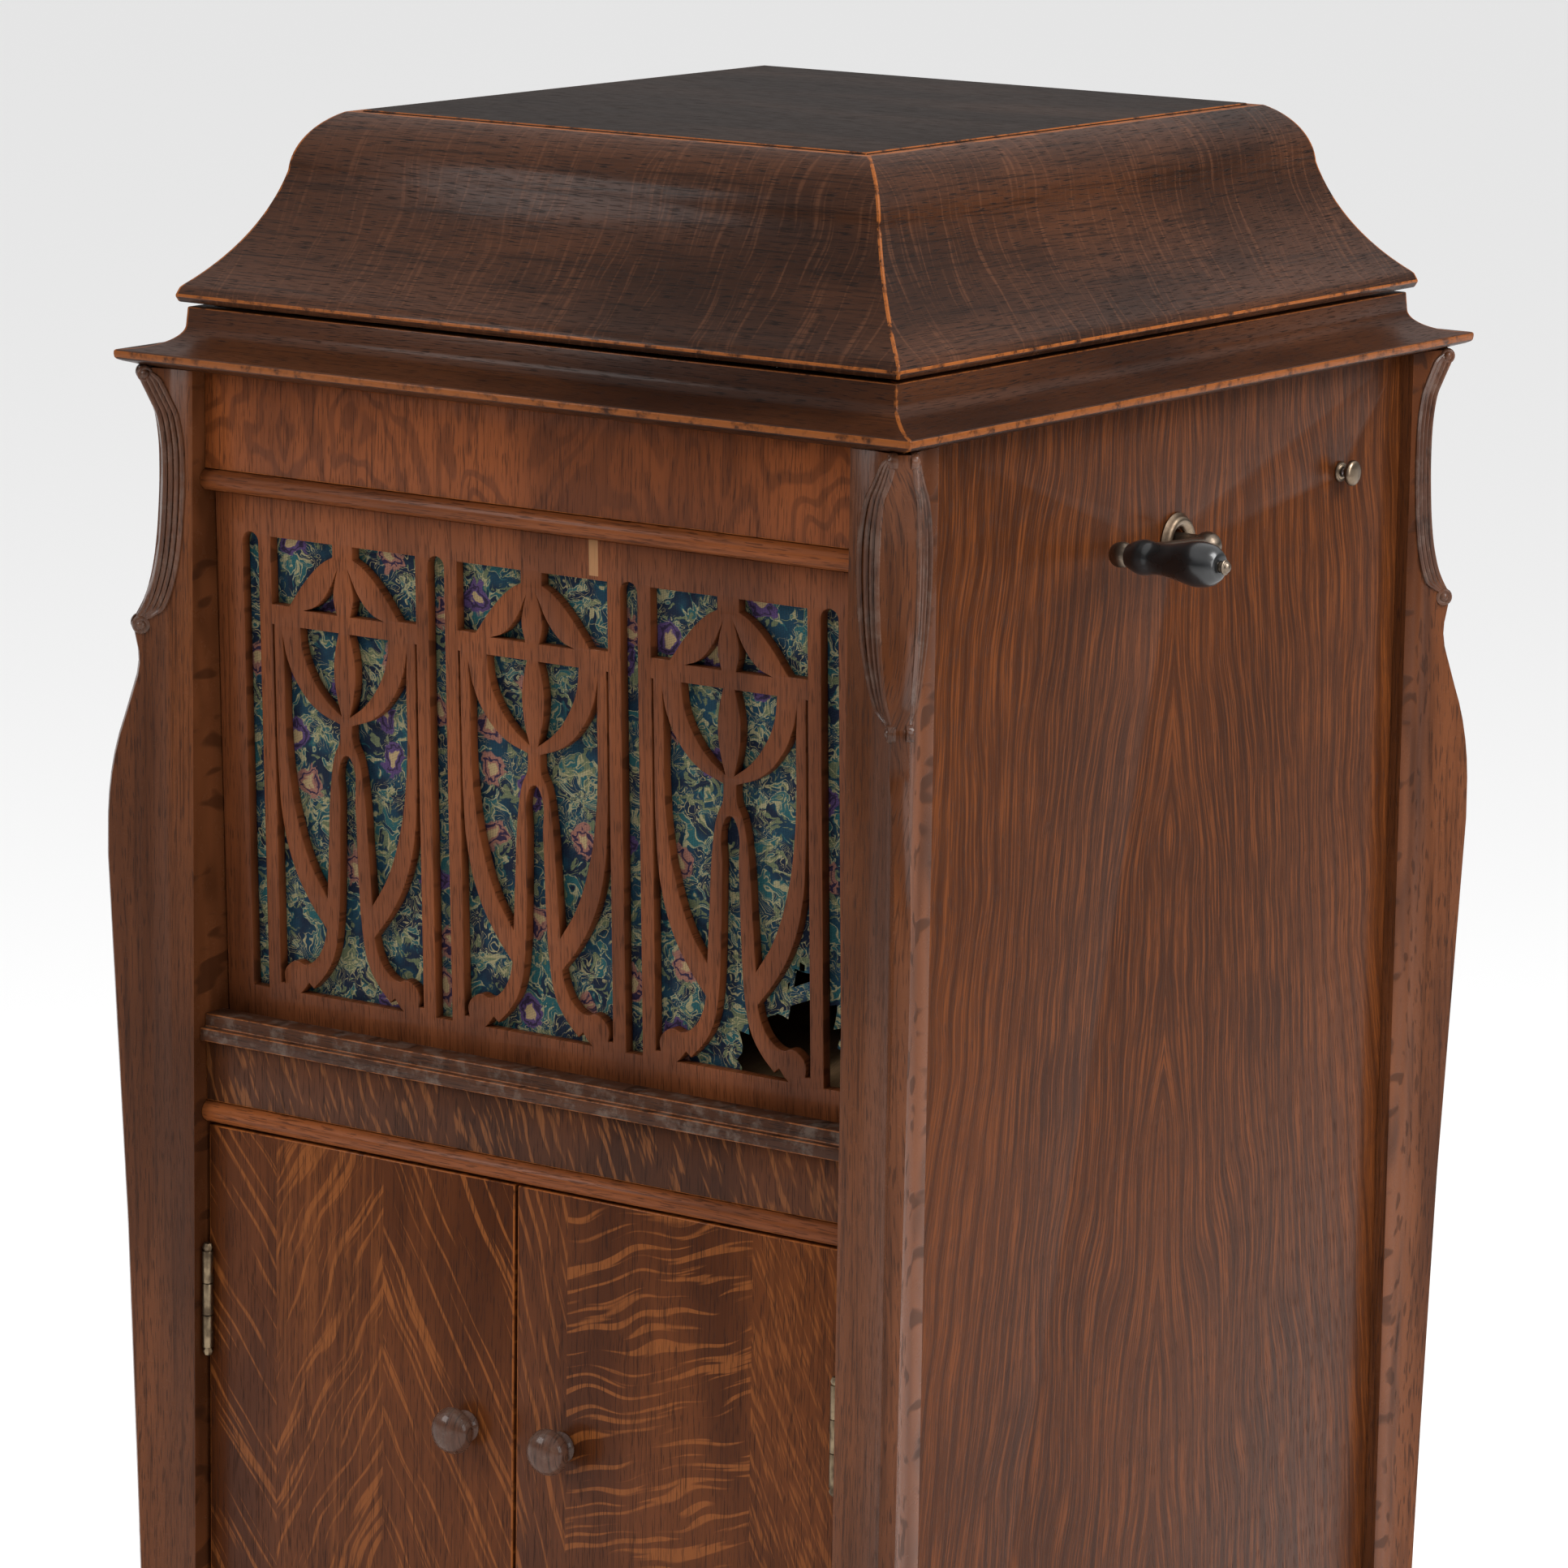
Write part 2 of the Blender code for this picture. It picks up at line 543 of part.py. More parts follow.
# ------------------------------------------------------------------ grille
def motif_holes(half, scale):
    """Cut-outs of one fret motif, about its middle: (x, drop below the panel's top).

    A leaf hangs from an arch over a crossbar and goes on into a shield. Two legs spread from the shield's
    point and end in round scrolls; long arcs come down from the crossbar to meet them.
    """
    right = [
        [(7.5, 23.5), (half, 23.5), (half, 64), (41, 64), (27, 46, "s"), (15, 35, "s"), (7.5, 31)],
        [(4, 38), (12, 53, "s"), (21, 62, "s"), (30, 65.5), (5, 65.5), (7.4, 55, "s"), (6, 45, "s")],
        [(4, 76), (33, 76), (31, 91, "s"), (24, 106, "s"), (14, 118, "s"), (3, 126), (6.5, 113, "s"),
         (8, 98, "s"),
         (6.6, 86, "s")],
        [(46.5, 82), (45.6, 105, "s"), (45.6, 135, "s"), (43.5, 165, "s"), (39, 190, "s"), (29, 219, "s"),
         (17, 238), (15, 205, "s"), (12.6, 170, "s"), (9, 150, "s"), (5, 141, "s"), (4.5, 131),
         (22, 124, "s"), (36, 110, "s"), (43.5, 95, "s")],
        [(half, 76), (half, 295), (50.5, 295), (51, 288, "s"), (46.5, 282, "s"), (41, 280, "s"),
         (35.5, 281.5, "s"),
         (27, 277, "s"), (21, 268, "s"), (18, 257.5), (31, 241, "s"), (42, 221, "s"), (49.3, 195, "s"),
         (52, 165, "s"), (52.6, 120, "s"), (52.6, 76)],
    ]
    foot = [(4, 153, "s"), (5.6, 180, "s"), (7, 225, "s"), (9, 255, "s"), (13, 274, "s"), (20, 286, "s"),
            (29, 295.5),
            (32.5, 292.5), (36, 297), (39, 299.5)]
    middle = [(0, 149.5, "s")] + foot + [(-p[0], *p[1:]) for p in reversed(foot)]
    left = [[(-p[0], *p[1:]) for p in reversed(loop)] for loop in right]
    return [[(p[0] * scale, *p[1:]) for p in loop] for loop in right + left + [middle]]


def grille():
    half_w = OPEN_X - 0.8
    height = GRILLE_H + GROOVE_DEPTH - 6 * GAP
    pitch = (2 * half_w - 52.0) / MOTIF_COUNT
    drawn_half = 54.0
    half = (pitch - SLOT_W - 2 * BAR_W) / 2
    loops = [[(-half_w, 0), (half_w, 0), (half_w, -height), (-half_w, -height)]]
    for i in range(MOTIF_COUNT + 1):
        x, r = (i - MOTIF_COUNT / 2) * pitch, SLOT_W / 2
        top = 22 + r
        loops.append([(x - r, -299.5), (x + r, -299.5)]
                     + [(x + r * math.cos(math.pi * j / 6), -top + r * math.sin(math.pi * j / 6))
                        for j in range(7)])
    for i in range(MOTIF_COUNT):
        x = (i - (MOTIF_COUNT - 1) / 2) * pitch
        for hole in motif_holes(drawn_half, half / drawn_half):
            loops.append([(x + p[0], -p[1], *p[2:]) for p in hole])
    loops = [[(p[0], p[1] + height, *p[2:]) for p in loop] for loop in loops]
    foot_y = -(HALF_D - GRILLE_FOOT_INSET)
    foot_z = LEDGE_TOP - GROOVE_DEPTH + GAP + 0.3
    lean = math.degrees(math.atan2(GRILLE_FOOT_INSET - GRILLE_TOP_INSET, GRILLE_H))
    panel = plate("grille_panel", loops, GRILLE_T, "oak", "XZ", (0, foot_y, foot_z), resolution=2,
                  turn=(lean, 0, 0))
    for vert in panel.data.vertices:
        vert.co.y += GRILLE_T / 2 * MM
    cloth = box("grille_cloth", (-half_w + 8, foot_y + GRILLE_T + GAP, foot_z + 8),
                (half_w - 8, foot_y + GRILLE_T + GAP + CLOTH_T, foot_z + height - 8), "cloth",
                (0, foot_y, foot_z))
    cloth.rotation_euler.x = math.radians(lean)


# ------------------------------------------------------------------ doors and lid
def barrel_hinge(fixed_name, moving_name, axis, leaf_fixed, leaf_moving, along, length, finish):
    """A butt hinge: the fixed leaf has the end knuckles and the pin, the moving leaf the middle knuckle.

    axis is the pin's middle, along its direction, and each leaf is a (low, high) box. Without a moving leaf
    the fixed half stands alone.
    """
    axis, along = Vector(axis), Vector(along)
    third = length / 3
    fixed = box(fixed_name, *leaf_fixed, finish)
    middle = (axis - along * (third / 2 - GAP), axis + along * (third / 2 - GAP))
    room = along * 2 * GAP
    boolean(fixed, rod("knuckle_room", middle[0] - room, middle[1] + room, HINGE_R + GAP, finish, 12))
    for end in (-1, 1):
        outer, inner = axis + along * end * length / 2, axis + along * end * (third / 2 + GAP)
        boolean(fixed, rod("knuckle", inner, outer, HINGE_R, finish, 10), "UNION")
        boolean(fixed, ball("ball_tip", outer + along * end * 2.4, HINGE_R, finish, segments=8), "UNION")
    reach = along * (length / 2 - 1)
    boolean(fixed, rod("pin", axis - reach, axis + reach, 1.5, finish, 8), "UNION")
    if not moving_name:
        return
    moving = box(moving_name, *leaf_moving, finish, axis)
    boolean(moving, rod("knuckle", *middle, HINGE_R, finish, 10), "UNION")
    boolean(moving, rod("bore", axis - along * length, axis + along * length, 1.5 + GAP, finish, 8))


def doors():
    half_mid = DOOR_MID_GAP / 2
    edge = OPEN_X - DOOR_SIDE_GAP
    for side, word in ((-1, "left"), (1, "right")):
        axis_x, axis_y = side * (OPEN_X - HINGE_R - 0.8), DOOR_Y - HINGE_R - GAP
        low, high = sorted((side * half_mid, side * edge))
        pivot = (axis_x, axis_y, DOOR_BOTTOM)
        box(f"door_{word}", (low, DOOR_Y, DOOR_BOTTOM), (high, DOOR_Y + DOOR_T, DOOR_TOP), "oak", pivot)
        knob = [(0, 23), (7, 22.2), (11, 20), (13.6, 15.5), (13.6, 12), (11, 8.5), (7.5, 6.5), (7, 4),
                (9.5, 1.5),
                (9.5, GAP), (0, GAP)]
        spot = (side * KNOB_FROM_MID, DOOR_Y, DOOR_TOP - KNOB_DROP)
        turned(f"door_knob_{word}", knob, "oak", spot, (90, 0, 0), 18)
        for level, base in (("upper", DOOR_TOP - HINGE_FROM_END - HINGE_H),
                            ("lower", DOOR_BOTTOM + HINGE_FROM_END)):
            z0, z1 = base, base + HINGE_H
            fixed_x = sorted((side * (OPEN_X - GAP), side * (OPEN_X - GAP - 0.9)))
            moving_x = sorted((side * (OPEN_X - 1.4), side * (OPEN_X - 2.3)))
            third = HINGE_H / 3
            fixed = ((fixed_x[0], axis_y, z0), (fixed_x[1], DOOR_Y + 14, z1))
            moving = ((moving_x[0], axis_y, z0 + third + GAP), (moving_x[1], DOOR_Y + 14, z1 - third - GAP))
            barrel_hinge(f"hinge_{word}_{level}", f"hinge_leaf_{word}_{level}",
                         (axis_x, axis_y, (z0 + z1) / 2),
                         fixed, moving, (0, 0, 1), HINGE_H, "brass")


def lid():
    outside = [(27.1, LID_LIFT), (26, 34), (27.6, 39)] + arc((29, 40.5), (73, 108), -6.2)
    outside += arc((73, 108), (LID_FLAT_INSET, LID_TOP), 5.5)[1:] + [(LID_PANEL_INSET, LID_TOP)]
    inside = [(LID_PANEL_INSET, LID_TOP - 14), (92, LID_TOP - 15)] + arc((86, 118), (46, 52), 5.0, 4)
    inside += [(LID_WALL_INSET, 44), (LID_WALL_INSET, LID_LIFT)]
    pivot = (0, LID_HINGE_Y, LID_HINGE_Z)
    section = [(inset, TIP_Z + height) for inset, height in outside + inside]
    mitred_frame("lid_frame", section, "oak_dark", pivot)
    x, y = HALF_W - LID_PANEL_INSET - GAP, HALF_D - LID_PANEL_INSET - GAP
    top = TIP_Z + LID_TOP + LID_PLATE_PROUD
    box("lid_top", (-x, -y, top - LID_PLATE_T), (x, y, top), "oak_dark", pivot)

    wall_y = HALF_D - LID_WALL_INSET
    for side, word in ((-1, "left"), (1, "right")):
        middle = side * LID_HINGE_X
        x0, x1 = middle - LID_HINGE_L / 2, middle + LID_HINGE_L / 2
        fixed = ((x0, wall_y, LID_HINGE_Z - 1.15), (x1, LID_HINGE_Y, LID_HINGE_Z - 0.15))
        barrel_hinge(f"lid_hinge_{word}", None, (middle, LID_HINGE_Y, LID_HINGE_Z), fixed, None, (1, 0, 0),
                     LID_HINGE_L, "brass")


def lid_stay():
    """A slotted bar on the left wall. The lid's stud runs along the slot and meets its end at LID_OPEN."""
    pivot = Vector((STAY_PIVOT[0], TIP_Z + STAY_PIVOT[1]))
    stud = Vector((STAY_STUD[0], TIP_Z + STAY_STUD[1]))
    hinge = Vector((LID_HINGE_Y, LID_HINGE_Z))
    opened = hinge + Matrix.Rotation(math.radians(-LID_OPEN), 2) @ (stud - hinge)
    near, far = (stud - pivot).length, (opened - pivot).length
    tip, half = far + 10, 5.0
    bar = [(-tip, -half), (-tip - 4, 0), (-tip, half), (5, half), (8, 0), (5, -half)]
    slot = [(-far - 2, -2), (-near + 6, -2), (-near + 6, 2), (-far - 2, 2)]
    stay_x = STAY_OFF_WALL - (HALF_W - LID_WALL_INSET)
    stay = plate("lid_stay", [bar, slot], STAY_T, "brass", "YZ", (stay_x, *pivot))
    stay.rotation_euler.x = -math.atan2(stud.y - pivot.y, pivot.x - stud.x)


# ------------------------------------------------------------------ horn and tonearm
def horn():
    """A shell lofted from the grille opening back to the round end of the throat."""
    rows = [(-INNER_Y + 9, 0.0, OPEN_X - 10, LEDGE_TOP + 4, GRILLE_TOP - 5, 9.0),
            (-160, 0.08, 168, TIP_Z - 381, TIP_Z - 172, 6.0),
            (-60, 0.35, 108, TIP_Z - 366, TIP_Z - 228, 4.0),
            (35, 0.75, 62, TIP_Z - 345, TIP_Z - 262, 2.6),
            (ARM_Y - THROAT_BEND - 8, 1.0, THROAT_R + 3, TIP_Z - THROAT_FLOOR - THROAT_R - 3,
             TIP_Z - THROAT_FLOOR + THROAT_R + 3, 2.0)]
    sides = 24
    bm = bmesh.new()
    rings = []
    for y, shift, half, low, high, power in rows:
        ring = []
        for i in range(sides):
            a = 2 * math.pi * i / sides
            c, s = math.cos(a), math.sin(a)
            x = math.copysign(abs(c) ** (2 / power), c) * half + shift * ARM_X
            z = math.copysign(abs(s) ** (2 / power), s) * (high - low) / 2 + (high + low) / 2
            ring.append(bm.verts.new((x * MM, y * MM, z * MM)))
        rings.append(ring)
    for a, b in zip(rings, rings[1:]):
        for i in range(sides):
            bm.faces.new((a[i], b[i], b[i - 1], a[i - 1]))
    bmesh.ops.recalc_face_normals(bm, faces=bm.faces)
    mesh = bpy.data.meshes.new("horn")
    bm.to_mesh(mesh)
    bm.free()
    made = add("horn", mesh, "pine")
    wall = made.modifiers.new("wall", "SOLIDIFY")
    wall.thickness = 5 * MM
    wall.offset = 0.0
    wall.use_even_offset = False


def throat():
    x, floor = ARM_X, TIP_Z - THROAT_FLOOR
    outer = THROAT_R + THROAT_WALL
    gate_z = TIP_Z - TONE_DROP
    bend = [(x, ARM_Y - THROAT_BEND * (1 - math.sin(a)), floor + THROAT_BEND * (1 - math.cos(a)))
            for a in (math.radians(22.5 * i) for i in range(5))]
    start = (x, ARM_Y - THROAT_BEND - 4.0, floor)
    end = (x, ARM_Y, gate_z - 2.5)
    points = [start] + bend + [(x, ARM_Y, (bend[-1][2] + end[2]) / 2), end]
    tube("horn_throat", points, [outer] * len(points), "cast_iron", wall=THROAT_WALL, sides=4, resolution=2)
    upper = gate_z + 2.5
    flange = BRACKET_FLANGE_R
    top = MOTOR_BOARD_TOP
    outer, bore = THROAT_R - 0.5, THROAT_R - 3.5
    seat = [(bore, top + BRACKET_H), (outer, top + BRACKET_H), (outer, top + 8), (flange, top + 6),
            (flange, top + GAP), (outer, top + GAP), (outer, upper), (bore, upper)]
    turned("tonearm_bracket", seat, "nickel", (x, ARM_Y, 0), steps=24)


def tone_control():
    """Knob, rod and the sliding gate that closes the throat; pulled out by TONE_TRAVEL it opens."""
    z, y = TIP_Z - TONE_DROP, ARM_Y
    half = THROAT_R + 2.0
    gate = box("tone_gate", (ARM_X - half, y - half, z - 1.2), (ARM_X + half, y + half, z + 1.2), "steel")
    gate_rod = rod("gate_rod", (ARM_X + half - 4, y, z), (PANEL_OUT + 4, y, z), TONE_ROD_R, "steel", 12)
    boolean(gate, gate_rod, "UNION")
    face = TONE_STANDOFF
    turned("tone_knob", [(0, face), (5.5, face - 0.6), (7.8, face - 2.4), (7.8, face - 4.4), (4, face - 6.5),
                         (3.4, 4.0 + GAP), (0, 4.0 + GAP)], "brass", (PANEL_OUT, y, z), (0, 90, 0), 16)


def park_angle():
    """How far the parked arm stands clear of the turntable, in degrees right of straight ahead."""
    clear = TABLE_R + 42.0
    dx, dy = TABLE_X - ARM_X, TABLE_Y - ARM_Y
    span = math.hypot(dx, dy)
    opening = math.acos((span * span + ARM_REACH * ARM_REACH - clear * clear) / (2 * span * ARM_REACH))
    return math.degrees(opening - math.atan2(-dx, -dy))


def tonearm():
    """The arm is drawn pointing straight ahead, then turned to its parked place about its own pivot."""
    park = park_angle()
    pivot = (ARM_X, ARM_Y, ARM_HEIGHT)
    base = MOTOR_BOARD_TOP + BRACKET_H + GAP - ARM_HEIGHT
    joint = -(ARM_REACH - ARM_JOINT_BACK)
    points = [(0, 0, base), (0, 0, base + 8), (0, -7, -9), (0, -32, 0), (0, joint * 0.6, 0),
              (0, joint + 2, 0)]
    arm = tube("tonearm", points, [20, 20, 18.5, 16.5, 12.5, 9.5], "nickel", pivot, sides=3, resolution=3)
    arm.rotation_euler.z = math.radians(park)
    turn = Matrix.Rotation(math.radians(park), 3, "Z")
    swivel = Vector(pivot) + turn @ Vector((0, joint, 0))
    neck = [(0, -1.5, 0), (0, -14, 1), (0, -26, 8), (0, -40, 10)]
    neck_tube = tube("sound_box_neck", neck, [9, 8.5, 8, 8], "nickel", swivel, sides=3, resolution=3)
    neck_tube.rotation_euler.z = math.radians(park)
    tip = Vector((0, -ARM_JOINT_BACK, 10))
    centre = swivel + turn @ tip
    profile = [(0, 7), (16, 7), (BOX_R, 5), (BOX_R, -5), (16, -7), (0, -7)]
    box_turn = (0, 90, park)
    sound_box = turned("sound_box", profile, "nickel", centre, box_turn, 28)
    socket = [swivel + turn @ Vector((0, y, 10)) for y in (-38, -48)]
    boolean(sound_box, rod("neck_socket", *socket, 8.5, "nickel"))
    chuck_low = centre - Vector((0, 0, BOX_R + 7))
    chuck = rod("needle_chuck", centre - Vector((0, 0, BOX_R - 2)), chuck_low, 2.6, "nickel", 8)
    boolean(sound_box, chuck, "UNION")
    needle_top = chuck_low - Vector((0, 0, GAP))
    rod("needle", needle_top, needle_top - Vector((0, 0, 8)), 0.8, "steel", 6, centre)


# ------------------------------------------------------------------ turntable and controls
def turntable():
    spot = (TABLE_X, TABLE_Y, TABLE_LOW)
    hub, skirt = SPINDLE_R + 0.1, TABLE_R - 4
    pan = [(hub, TABLE_H), (TABLE_R - 2, TABLE_H), (TABLE_R, TABLE_H - 2), (TABLE_R, 0), (skirt, 0),
           (skirt, TABLE_H - 4), (20, TABLE_H - 4), (12, 1), (hub, 1)]
    turned("turntable", pan, "nickel", spot, steps=40)
    eye, edge, low, high = SPINDLE_R + 0.6, TABLE_R - 3, TABLE_H + GAP, TABLE_H + GAP + FELT_T
    turned("turntable_felt", [(eye, high), (edge, high), (edge, low), (eye, low)], "felt", spot, steps=32)


def brake():
    """A lever on the motor board whose leather pad bears on the turntable's rim."""
    direction = math.radians(-42)
    away = Vector((math.cos(direction), math.sin(direction), 0))
    along = Vector((-away.y, away.x, 0))
    length, pad_t, height = 34.0, 5.0, MOTOR_BOARD_TOP + TABLE_RISE + 5
    touch = Vector((TABLE_X, TABLE_Y, height)) + away * (TABLE_R + 0.6)
    pivot = touch + away * (pad_t + 5.5) - along * length
    angle = math.degrees(math.atan2(along.y, along.x))
    outline = [(-6, -4), (length + 5, -4), (length + 5, 4.5), (-6, 4.5)]
    plate("brake_lever", [outline], 3.0, "nickel", "XY", pivot,
          turn=(0, 0, angle))
    lever = bpy.data.objects["brake_lever"]
    low = MOTOR_BOARD_TOP + GAP - height
    foot = [(0, 1), (4.5, 1), (4.5, low + 3), (9, low + 3), (9, low), (0, low)]
    boolean(lever, turned("brake_post", foot, "nickel", pivot, steps=12), "UNION")
    pad = [[(length - 7, 4), (length + 5, 4), (length + 5, 4.8 + pad_t), (length - 7, 4.8 + pad_t)]]
    boolean(lever, plate("brake_pad", pad, 5.0, "felt", "XY", pivot, turn=(0, 0, angle)), "UNION")


def speed_control():
    """A pointer that turns on the front left of the motor board."""
    spot = (-PANEL_IN + 52, -OPEN_Y + 62, MOTOR_BOARD_TOP + GAP)
    pointer = turned("speed_pointer", [(0, 10), (4, 10), (5, 8), (5, 0), (0, 0)], "nickel", spot, steps=16)
    x, y, z = spot
    pointer_arm = box("pointer_arm", (x + 2, y - 1.5, z + 4), (x + 19, y + 1.5, z + 6.5), "nickel")
    boolean(pointer, pointer_arm, "UNION")


# ------------------------------------------------------------------ crank
def crank():
    """Shaft with the winding pinion, arm and grip pin in one piece; the grip turns on its pin."""
    dish = [(11.5, 4.4), (13.0, 5.0), (14.5, 4.2), (16.6, 1.8), (17.5, 1.0), (17.5, GAP), (7.5, GAP), (7.5, 2.0)]
    turned("crank_escutcheon", dish, "brass", (PANEL_OUT, CRANK_Y, CRANK_Z), (0, 90, 0), 20)
    raised = math.radians(CRANK_RAISE)
    hub = Vector((PANEL_OUT + CRANK_STANDOFF, CRANK_Y, CRANK_Z))
    reach = Vector((CRANK_LEAN, -CRANK_ARM * math.cos(raised), CRANK_ARM * math.sin(raised)))
    eye = hub + reach
    pinion_x = bevel_apex().x + BEVEL_TEETH * BEVEL_MODULE / 2 - 4
    arm = tube("crank", [reach * share for share in (0.0, 0.3, 0.7, 1.03)], [7.5, 6, 5.2, 6.5], "nickel", hub,
               sides=3, resolution=2)
    past = Vector((5, 0, 0))
    crank_shaft = rod("crank_shaft", (pinion_x, CRANK_Y, CRANK_Z), hub + past, CRANK_SHAFT_R, "nickel")
    boolean(arm, crank_shaft, "UNION")
    grip_pin = rod("grip_pin", eye - past, (HANDLE_END + 1, eye.y, eye.z), 3.0, "nickel", 10)
    boolean(arm, grip_pin, "UNION")
    cap = [(0, 3), (3.6, 2.4), (5.4, 0), (5.4, -3 + GAP), (0, -3 + GAP)]
    boolean(arm, turned("grip_cap", cap, "nickel", (HANDLE_END, eye.y, eye.z), (0, 90, 0), 16), "UNION")
    pinion = bevel_wheel("winding_pinion", BEVEL_PINION_TEETH, BEVEL_TEETH, "steel", bevel_apex(),
                         (0, -90, 0), 0.0)
    boolean(arm, pinion, "UNION")
    length = HANDLE_L - 3
    grip = [(3.3, length), (8, length), (11.2, length - 5), (13.2, length - 14), (12.8, length - 24),
            (9.8, length - 36), (8.5, length - 44), (10.1, length - 52), (8.2, length - 57), (6.2, 2.5),
            (3.3, 2.5)]
    turned("crank_grip", grip, "black_grip", (HANDLE_X, eye.y, eye.z), (0, 90, 0), 18)


# ------------------------------------------------------------------ spring motor
def gear_outline(teeth, pitch_r, addendum, dedendum, phase=0.0, fill=0.40):
    """Straight-sided teeth: (x, y) points round the wheel; phase is the angle of one tooth's middle."""
    pitch = 2 * math.pi / teeth
    points = []
    for i in range(teeth):
        middle = phase + i * pitch
        for offset, radius in ((-0.62, pitch_r - dedendum), (-0.26, pitch_r + addendum),
                               (0.26, pitch_r + addendum), (0.62, pitch_r - dedendum)):
            a = middle + offset * fill * pitch * 1.25
            points.append((radius * math.cos(a), radius * math.sin(a)))
    return points


def bevel_apex():
    return Vector((TABLE_X + BARREL_X, CRANK_Y, CRANK_Z))


def third_shaft():
    """Where the intermediate shaft stands so that both pairs of wheels mesh, on the far side."""
    barrel = bevel_apex().to_2d()
    spindle = Vector((TABLE_X, TABLE_Y))
    from_barrel = (GREAT_TEETH + PINION_TEETH) * GREAT_MODULE / 2
    from_spindle = (WHEEL_TEETH + SPINDLE_TEETH) * WHEEL_MODULE / 2
    line = spindle - barrel
    span = line.length
    along = (from_barrel ** 2 - from_spindle ** 2 + span ** 2) / (2 * span)
    across = math.sqrt(from_barrel ** 2 - along ** 2)
    unit = line.normalized()
    return barrel + unit * along + Vector((unit.y, -unit.x)) * across


def heading(start, end):
    return math.atan2(end[1] - start[1], end[0] - start[0])


def bevel_wheel(name, teeth, other_teeth, finish, origin, turn, phase):
    """A cone of straight teeth that point at the apex; the pair's axes cross there."""
    pitch_r = teeth * BEVEL_MODULE / 2
    height = other_teeth * BEVEL_MODULE / 2
    lean = teeth / other_teeth
    depth = BEVEL_FACE * height / math.hypot(pitch_r, height)
    wheel = plate(name, [gear_outline(teeth, pitch_r, 1.1 * lean, 1.8 * lean, phase, BEVEL_FILL)],
                  depth, finish, "XY", origin, turn=turn)
    shrink = (height - depth) / height
    for vert in wheel.data.vertices:
        if vert.co.z > 0:
            vert.co.x *= shrink
            vert.co.y *= shrink
        vert.co.z += (depth / 2 - height) * MM
    return wheel


